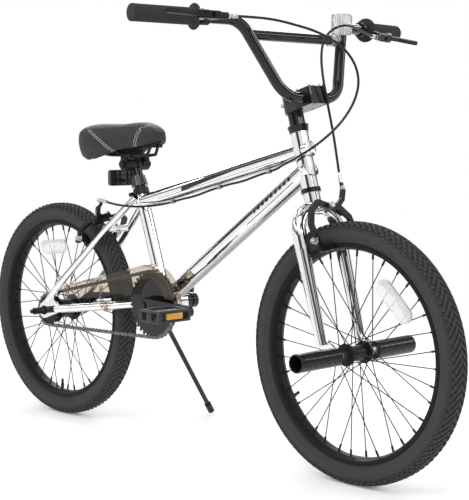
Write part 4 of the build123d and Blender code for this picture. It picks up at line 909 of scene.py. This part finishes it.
def make_welds():
    """Weld beads round the main frame joints."""
    head = (STEER_FOOT + STEER_UP * 0.39, STEER_UP, HEAD_TUBE_RADIUS)
    foot = BRACKET + Z * 0.01
    jobs = (
        (TOP_TUBE_REAR, TOP_TUBE_FRONT, TOP_TUBE_RADIUS, *head),
        (foot, DOWN_TUBE_FRONT, DOWN_TUBE_RADIUS, *head),
        (TOP_TUBE_FRONT, TOP_TUBE_REAR, TOP_TUBE_RADIUS, BRACKET - X * 0.007, SEAT_UP, SEAT_TUBE_RADIUS),
        (DOWN_TUBE_FRONT, foot, DOWN_TUBE_RADIUS, BRACKET, Y, SHELL_RADIUS),
    )
    for index, job in enumerate(jobs):
        name = f"weld_{index}"
        mesh = sweep_mesh(name, weld_line(*job), sizes().weld_size, cyclic=True)
        settle(name, mesh, "frame", chrome_plate)


def tip(node, direction):
    """The middle of a node's end in a direction."""
    spots = [vert.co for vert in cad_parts[node].data.vertices]
    edge = max(spot.dot(direction) for spot in spots)
    near = [spot for spot in spots if spot.dot(direction) > edge - 0.002]
    return sum(near, Vector()) / len(near)


def cable(name, points, body, replaced):
    """A brake cable along a smooth line of points."""
    mesh = sweep_mesh(name, points, CABLE_RADIUS)
    return settle(name, mesh, body, cable_black, (replaced,), 60)


def make_cables():
    """The three brake cables with their ferrules and bare inner wires."""
    right_end = tip("rear_cable_loop", -Y)
    guides = [Vector((0.2362, -0.006, 0.5997)), Vector((0.0915, -0.006, 0.5643)), Vector((-0.0559, -0.006, 0.5281))]
    run = (guides[0] - guides[1]).normalized()
    loop = [right_end, right_end + Vector((0.004, 0.030, 0.0006)), (0.350, -0.118, 0.892), (0.362, -0.070, 0.884),
            (0.378, -0.020, 0.872), (0.396, 0.024, 0.850), (0.410, 0.052, 0.818), (0.416, 0.062, 0.778),
            (0.412, 0.052, 0.738), (0.402, 0.030, 0.702), (0.386, 0.004, 0.672), (0.366, -0.020, 0.648),
            (0.340, -0.030, 0.632), (0.306, -0.024, 0.620), (0.276, -0.012, 0.612), guides[0] + run * 0.022,
            guides[0]]
    made = cable("cable_loop", loop, "", "rear_cable_loop")
    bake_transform(made)
    sag = Vector((-0.0012, -0.003, -0.004))
    rear_stop = Vector((-0.2500, -0.046, 0.5235))
    cable("rear_cable", [guides[0] + run * 0.001, guides[0] - run * 0.025, (guides[0] + guides[1]) / 2 + sag,
                         guides[1] + run * 0.025, guides[1] - run * 0.025, (guides[1] + guides[2]) / 2 + sag,
                         guides[2] + run * 0.025, guides[2] - run * 0.025, (-0.130, -0.019, 0.5150),
                         (-0.165, -0.030, 0.5135), (-0.200, -0.038, 0.5155), (-0.228, -0.043, 0.5195), rear_stop],
          "frame", "rear_brake_cable")
    left_end = tip("front_brake_cable", Y)
    front_stop = Vector((0.3834, 0.046, 0.5814))
    cable("front_cable", [left_end, left_end + Vector((0.010, -0.030, 0.002)), (0.350, 0.126, 0.888),
                          (0.356, 0.090, 0.892), (0.350, 0.058, 0.884), (0.344, 0.036, 0.862), (0.350, 0.022, 0.828),
                          (0.361, 0.015, 0.790), (0.370, 0.015, 0.752), (0.377, 0.019, 0.712),
                          (0.380, 0.027, 0.674), (0.379, 0.036, 0.640), front_stop + STEER_UP * 0.020],
          "fork", "front_brake_cable")
    for body, start, direction in (("fork", right_end, Vector((0.05, 0.99, 0.0))),
                                   ("fork", left_end, Vector((0.2, -0.97, 0.05))),
                                   ("fork", front_stop - STEER_UP * 0.006, STEER_UP),
                                   ("frame", rear_stop - Vector((0.006, 0.001, -0.001)), Vector((0.97, 0.1, -0.1)))):
        form = bmesh.new()
        direction = direction.normalized()
        turned(form, start - direction * 0.010, direction,
               [(0, 0), (0, 0.0046), (0.004, 0.0050), (0.008, 0.0050), (0.009, 0.0036), (0.014, 0.0036),
                (0.015, 0.0044), (0.022, 0.0040), (0.030, 0.0032), (0.031, 0)], 16)
        piece("ferrule", form, body, zinc_steel)
    form = bmesh.new()
    rod(form, front_stop + STEER_UP * 0.004, Vector((0.3785, 0.046, 0.5250)), WIRE_RADIUS)
    piece("front_inner_wire", form, "fork", zinc_steel)
    form = bmesh.new()
    rod(form, rear_stop, rear_stop + Vector((-0.034, 0.0, -0.034)), WIRE_RADIUS)
    piece("rear_inner_wire", form, "frame", zinc_steel)


def make_reflector_ribs():
    """Stiffening ribs on the front of the rear reflector's shell."""
    form = bmesh.new()
    middle = Vector((-0.2308, 0, 0.5760))
    for offset in (-0.034, -0.0225, -0.011, 0.011, 0.0225, 0.034):
        block(form, Matrix.Translation(middle + Y * offset), (0.0030, 0.0018, 0.034), 0.0004)
    for level in (-0.0165, -0.0055, 0.0055, 0.0165):
        block(form, Matrix.Translation(middle + Z * level), (0.0030, 0.070, 0.0018), 0.0004)
    return piece("reflector_ribs", form, "seat", moulded_black, angle=30)


def make_lever_details():
    """Pivot screws of the levers."""
    for name, body, pivot, axis in (("right", "right_lever", Vector((0.32057, -0.26838, 0.89348)),
                                     Vector((0.0026, 0.0126, 0.9999))),
                                    ("left", "left_lever", Vector((0.31757, 0.26800, 0.87638)),
                                     Vector((0.3375, 0.0565, 0.9396)))):
        form = bmesh.new()
        for side in SIDES:
            rod(form, pivot + axis * side * 0.0055, pivot + axis * side * 0.0102, 0.0046, segments=6,
                bevel=0.0005)
        piece(f"{name}_pivot_screw", form, body, zinc_steel, angle=25)


def make_fasteners():
    """Acorn nuts and washers on the brake shoes."""
    outline = [(0, 0), (0, 0.0085), (0.0016, 0.0085), (0.0016, 0.0066), (0.0078, 0.0066), (0.0080, 0.0048),
               (0.0115, 0.0042), (0.0138, 0.0022), (0.0142, 0)]
    for spot, side, body in ((FRONT_SHOE, -1, "front_c_arm"), (FRONT_SHOE, 1, "front_y_arm"),
                             (REAR_SHOE, 1, "rear_c_arm"), (REAR_SHOE, -1, "rear_y_arm")):
        form = bmesh.new()
        turned(form, mirrored(spot, side), Y * side, outline, 6)
        piece(f"{body}_nut", form, body, zinc_steel, angle=25)


CARRIED = {
    chrome_plate: ("head_tube", "seat_tube", "bottom_bracket_shell", "chainstays", "seatstays", "fork_blades",
                   "fork_steerer"),
    top_tube_chrome: ("top_tube",),
    down_tube_chrome: ("down_tube",),
    gloss_black: ("handlebar", "stem", "headset_spacer", "seatpost", "crank", "chainring", "kickstand_leg",
                  "headset_cups"),
    peg_black: ("front_pegs",),
    satin_black: ("seat_clamp", "bottom_bracket_cups", "kickstand_mount", "coaster_arm",
                  "front_spokes", "rear_spokes", "front_hub", "rear_hub", "rear_sprocket", "lever_brackets",
                  "saddle_clamp", "front_brake_c_arm", "front_brake_y_arm", "rear_brake_c_arm",
                  "rear_brake_y_arm", "lever_left", "lever_right", "rear_axle"),
    zinc_steel: ("front_axle", "stem_bolts", "front_brake_bolt", "rear_brake_bolt"),
    moulded_black: ("saddle_base", "pedal_left", "pedal_right"),
    grip_rubber: ("grips", "front_inner_tube", "rear_inner_tube"),
    tyre_rubber: ("front_tyre", "rear_tyre"),
    saddle_vinyl: ("saddle_cover",),
    smoked_plastic: ("chain_guard",),
    clear_prism: ("front_reflector",),
    spoke_reflector: ("front_wheel_reflector", "rear_wheel_reflector"),
    rim_black: ("front_rim", "rear_rim"),
    rear_lens: ("rear_reflector",),
    oiled_steel: ("chain",),
    cable_black: ("front_brake_cable", "rear_brake_cable", "rear_cable_loop"),
}


# ---- operators ------------------------------------------------------------------------------
class Maker:
    """What the operators share: each builds one group of pieces."""

    def execute(self, context):
        self.build(context.scene)
        return {"FINISHED"}


class BMX_OT_finishes(Maker, bpy.types.Operator):
    """Give every mechanical part its finish"""

    bl_idname = "bmx.finishes"
    bl_label = "Finishes"

    def build(self, scene):
        for maker, names in CARRIED.items():
            for name in names:
                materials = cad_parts[name].data.materials
                materials.clear()
                materials.append(finish_of(maker))


class BMX_OT_tyres(Maker, bpy.types.Operator):
    """Build both tyres with their tread"""

    bl_idname = "bmx.tyres"
    bl_label = "Tyres"

    def build(self, scene):
        make_tyre("front_tyre_rubber", FRONT_HUB, "front_wheel", "front_tyre")
        make_tyre("rear_tyre_rubber", REAR_HUB, "rear_wheel", "rear_tyre")


class BMX_OT_chain(Maker, bpy.types.Operator):
    """Build the chain's links"""

    bl_idname = "bmx.chain"
    bl_label = "Chain"

    def build(self, scene):
        make_chain()


class BMX_OT_grips(Maker, bpy.types.Operator):
    """Build the ribbed grips"""

    bl_idname = "bmx.grips"
    bl_label = "Grips"

    def build(self, scene):
        make_grips()


class BMX_OT_saddle(Maker, bpy.types.Operator):
    """Build the padded saddle"""

    bl_idname = "bmx.saddle"
    bl_label = "Saddle"

    def build(self, scene):
        make_saddle()


class BMX_OT_pedals(Maker, bpy.types.Operator):
    """Build both pedals and their reflectors"""

    bl_idname = "bmx.pedals"
    bl_label = "Pedals"

    def build(self, scene):
        for side, name in ((-1, "right"), (1, "left")):
            centre = BRACKET + Vector((-side * CRANK_LENGTH, side * PEDAL_OFFSET, 0))
            make_pedal(f"pedal_{name}_cage", centre, side, f"{name}_pedal", f"pedal_{name}")
            make_pedal_reflectors(f"pedal_{name}_reflectors", centre, f"{name}_pedal")


class BMX_OT_welds(Maker, bpy.types.Operator):
    """Lay weld beads at the frame joints"""

    bl_idname = "bmx.welds"
    bl_label = "Welds"

    def build(self, scene):
        make_welds()


class BMX_OT_cables(Maker, bpy.types.Operator):
    """Build the brake cables and their ferrules"""

    bl_idname = "bmx.cables"
    bl_label = "Cables"

    def build(self, scene):
        make_cables()


class BMX_OT_fasteners(Maker, bpy.types.Operator):
    """Fit the brake shoe nuts, the lever screws and the reflector's ribs"""

    bl_idname = "bmx.fasteners"
    bl_label = "Fasteners"

    def build(self, scene):
        make_fasteners()
        make_lever_details()
        make_reflector_ribs()


class BMX_OT_stage(Maker, bpy.types.Operator):
    """Set up the floor, the light and the camera"""

    bl_idname = "bmx.stage"
    bl_label = "Stage"

    def build(self, scene):
        form = bmesh.new()
        bmesh.ops.create_circle(form, cap_ends=True, segments=96, radius=2.4)
        mesh = bpy.data.meshes.new("studio_floor")
        form.to_mesh(mesh)
        form.free()
        floor = bpy.data.objects.new("studio_floor", mesh)
        scene.collection.objects.link(floor)
        mesh.materials.append(finish_of(studio_floor))
        for name, place, aim, energy, size in (
            ("key_light", (1.4, -2.2, 3.4), (0, 0, 0.3), 55, 2.6),
            ("top_light", (-0.6, 0.4, 4.2), (0, 0, 0.2), 35, 3.4),
            ("rim_light", (-2.6, 2.4, 2.2), (0, 0, 0.4), 25, 2.0),
        ):
            lamp = bpy.data.lights.new(name, "AREA")
            lamp.energy = energy
            lamp.size = size
            holder = bpy.data.objects.new(name, lamp)
            holder.location = place
            holder.rotation_euler = (Vector(aim) - Vector(place)).to_track_quat("-Z", "Y").to_euler()
            scene.collection.objects.link(holder)
        self.sky(scene)
        eye, target = Vector((2.107, -1.920, 0.681)), Vector((0.12976, 0, 0.43363))
        lens = bpy.data.cameras.new("camera")
        lens.lens = 95.2
        lens.sensor_width = 36
        camera = bpy.data.objects.new("camera", lens)
        camera.location = eye
        camera.rotation_euler = (target - eye).to_track_quat("-Z", "Y").to_euler()
        scene.collection.objects.link(camera)
        scene.camera = camera
        scene.view_settings.view_transform = "Standard"

    def sky(self, scene):
        """A bright studio with dark strips and a lamp strip for glossy parts to pick up."""
        world = bpy.data.worlds.new("studio")
        scene.world = world
        world.use_nodes = True
        studio = Tree(world.node_tree)
        x, y, z = studio.parted(studio.node("ShaderNodeTexCoord", output="Generated"))
        turn = studio.node("ShaderNodeMath", {"operation": "ARCTAN2"}, {0: y, 1: x})
        ramp = world.node_tree.nodes.new("ShaderNodeValToRGB")
        studio.feed(ramp.inputs[0], z + (turn * 2).wave() * 0.02)
        stops = ((0.0, 1.0), (0.13, 1.0), (0.17, 0.05), (0.25, 0.06), (0.30, 0.80), (0.42, 0.86), (0.440, 12.0),
                 (0.458, 12.0), (0.475, 0.86), (0.55, 0.70), (0.58, 0.16), (0.66, 0.14), (0.71, 0.86), (0.86, 0.80),
                 (0.92, 0.15), (1.0, 0.1))
        bar = ramp.color_ramp
        while len(bar.elements) < len(stops):
            bar.elements.new(0.5)
        for element, (position, value) in zip(bar.elements, stops):
            element.position = position
            element.color = (value, value, value, 1)
        level = Field(studio, ramp.outputs["Color"])
        strips = studio.eased((turn * 4 + 0.9).wave(), 0.80, 0.97, 0.0, 0.92)
        high = (z > -0.02) * (1 - (z < 0.13) * (x < 0.2) * (y > -0.2))
        studio.feed(world.node_tree.nodes["Background"].inputs["Color"], level * (1 - strips * high))


OPERATORS = (BMX_OT_stage, BMX_OT_finishes, BMX_OT_tyres, BMX_OT_chain, BMX_OT_grips, BMX_OT_saddle,
             BMX_OT_pedals, BMX_OT_welds, BMX_OT_cables, BMX_OT_fasteners)


class BMX_PT_panel(bpy.types.Panel):
    """Sidebar panel that lists the pieces"""

    bl_idname = "BMX_PT_panel"
    bl_label = "BMX bicycle"
    bl_space_type = "VIEW_3D"
    bl_region_type = "UI"
    bl_category = "BMX"

    def draw(self, context):
        column = self.layout.column()
        for operator in OPERATORS:
            column.operator(operator.bl_idname)
        for group in (colours(), sizes()):
            for name in group.__annotations__:
                column.prop(group, name)


CLASSES = (BmxColours, BmxSizes, *OPERATORS, BMX_PT_panel)


def register():
    """Register the classes and settings."""
    for item in CLASSES:
        bpy.utils.register_class(item)
    bpy.types.Scene.bmx_colours = PointerProperty(type=BmxColours)
    bpy.types.Scene.bmx_sizes = PointerProperty(type=BmxSizes)


def unregister():
    """Remove the classes and settings."""
    del bpy.types.Scene.bmx_sizes
    del bpy.types.Scene.bmx_colours
    for item in reversed(CLASSES):
        bpy.utils.unregister_class(item)


def main():
    """Build every piece."""
    register()
    bpy.ops.bmx.stage()
    bpy.ops.bmx.finishes()
    bpy.ops.bmx.tyres()
    bpy.ops.bmx.chain()
    bpy.ops.bmx.grips()
    bpy.ops.bmx.saddle()
    bpy.ops.bmx.pedals()
    bpy.ops.bmx.welds()
    bpy.ops.bmx.cables()
    bpy.ops.bmx.fasteners()


if __name__ == "__main__":
    main()
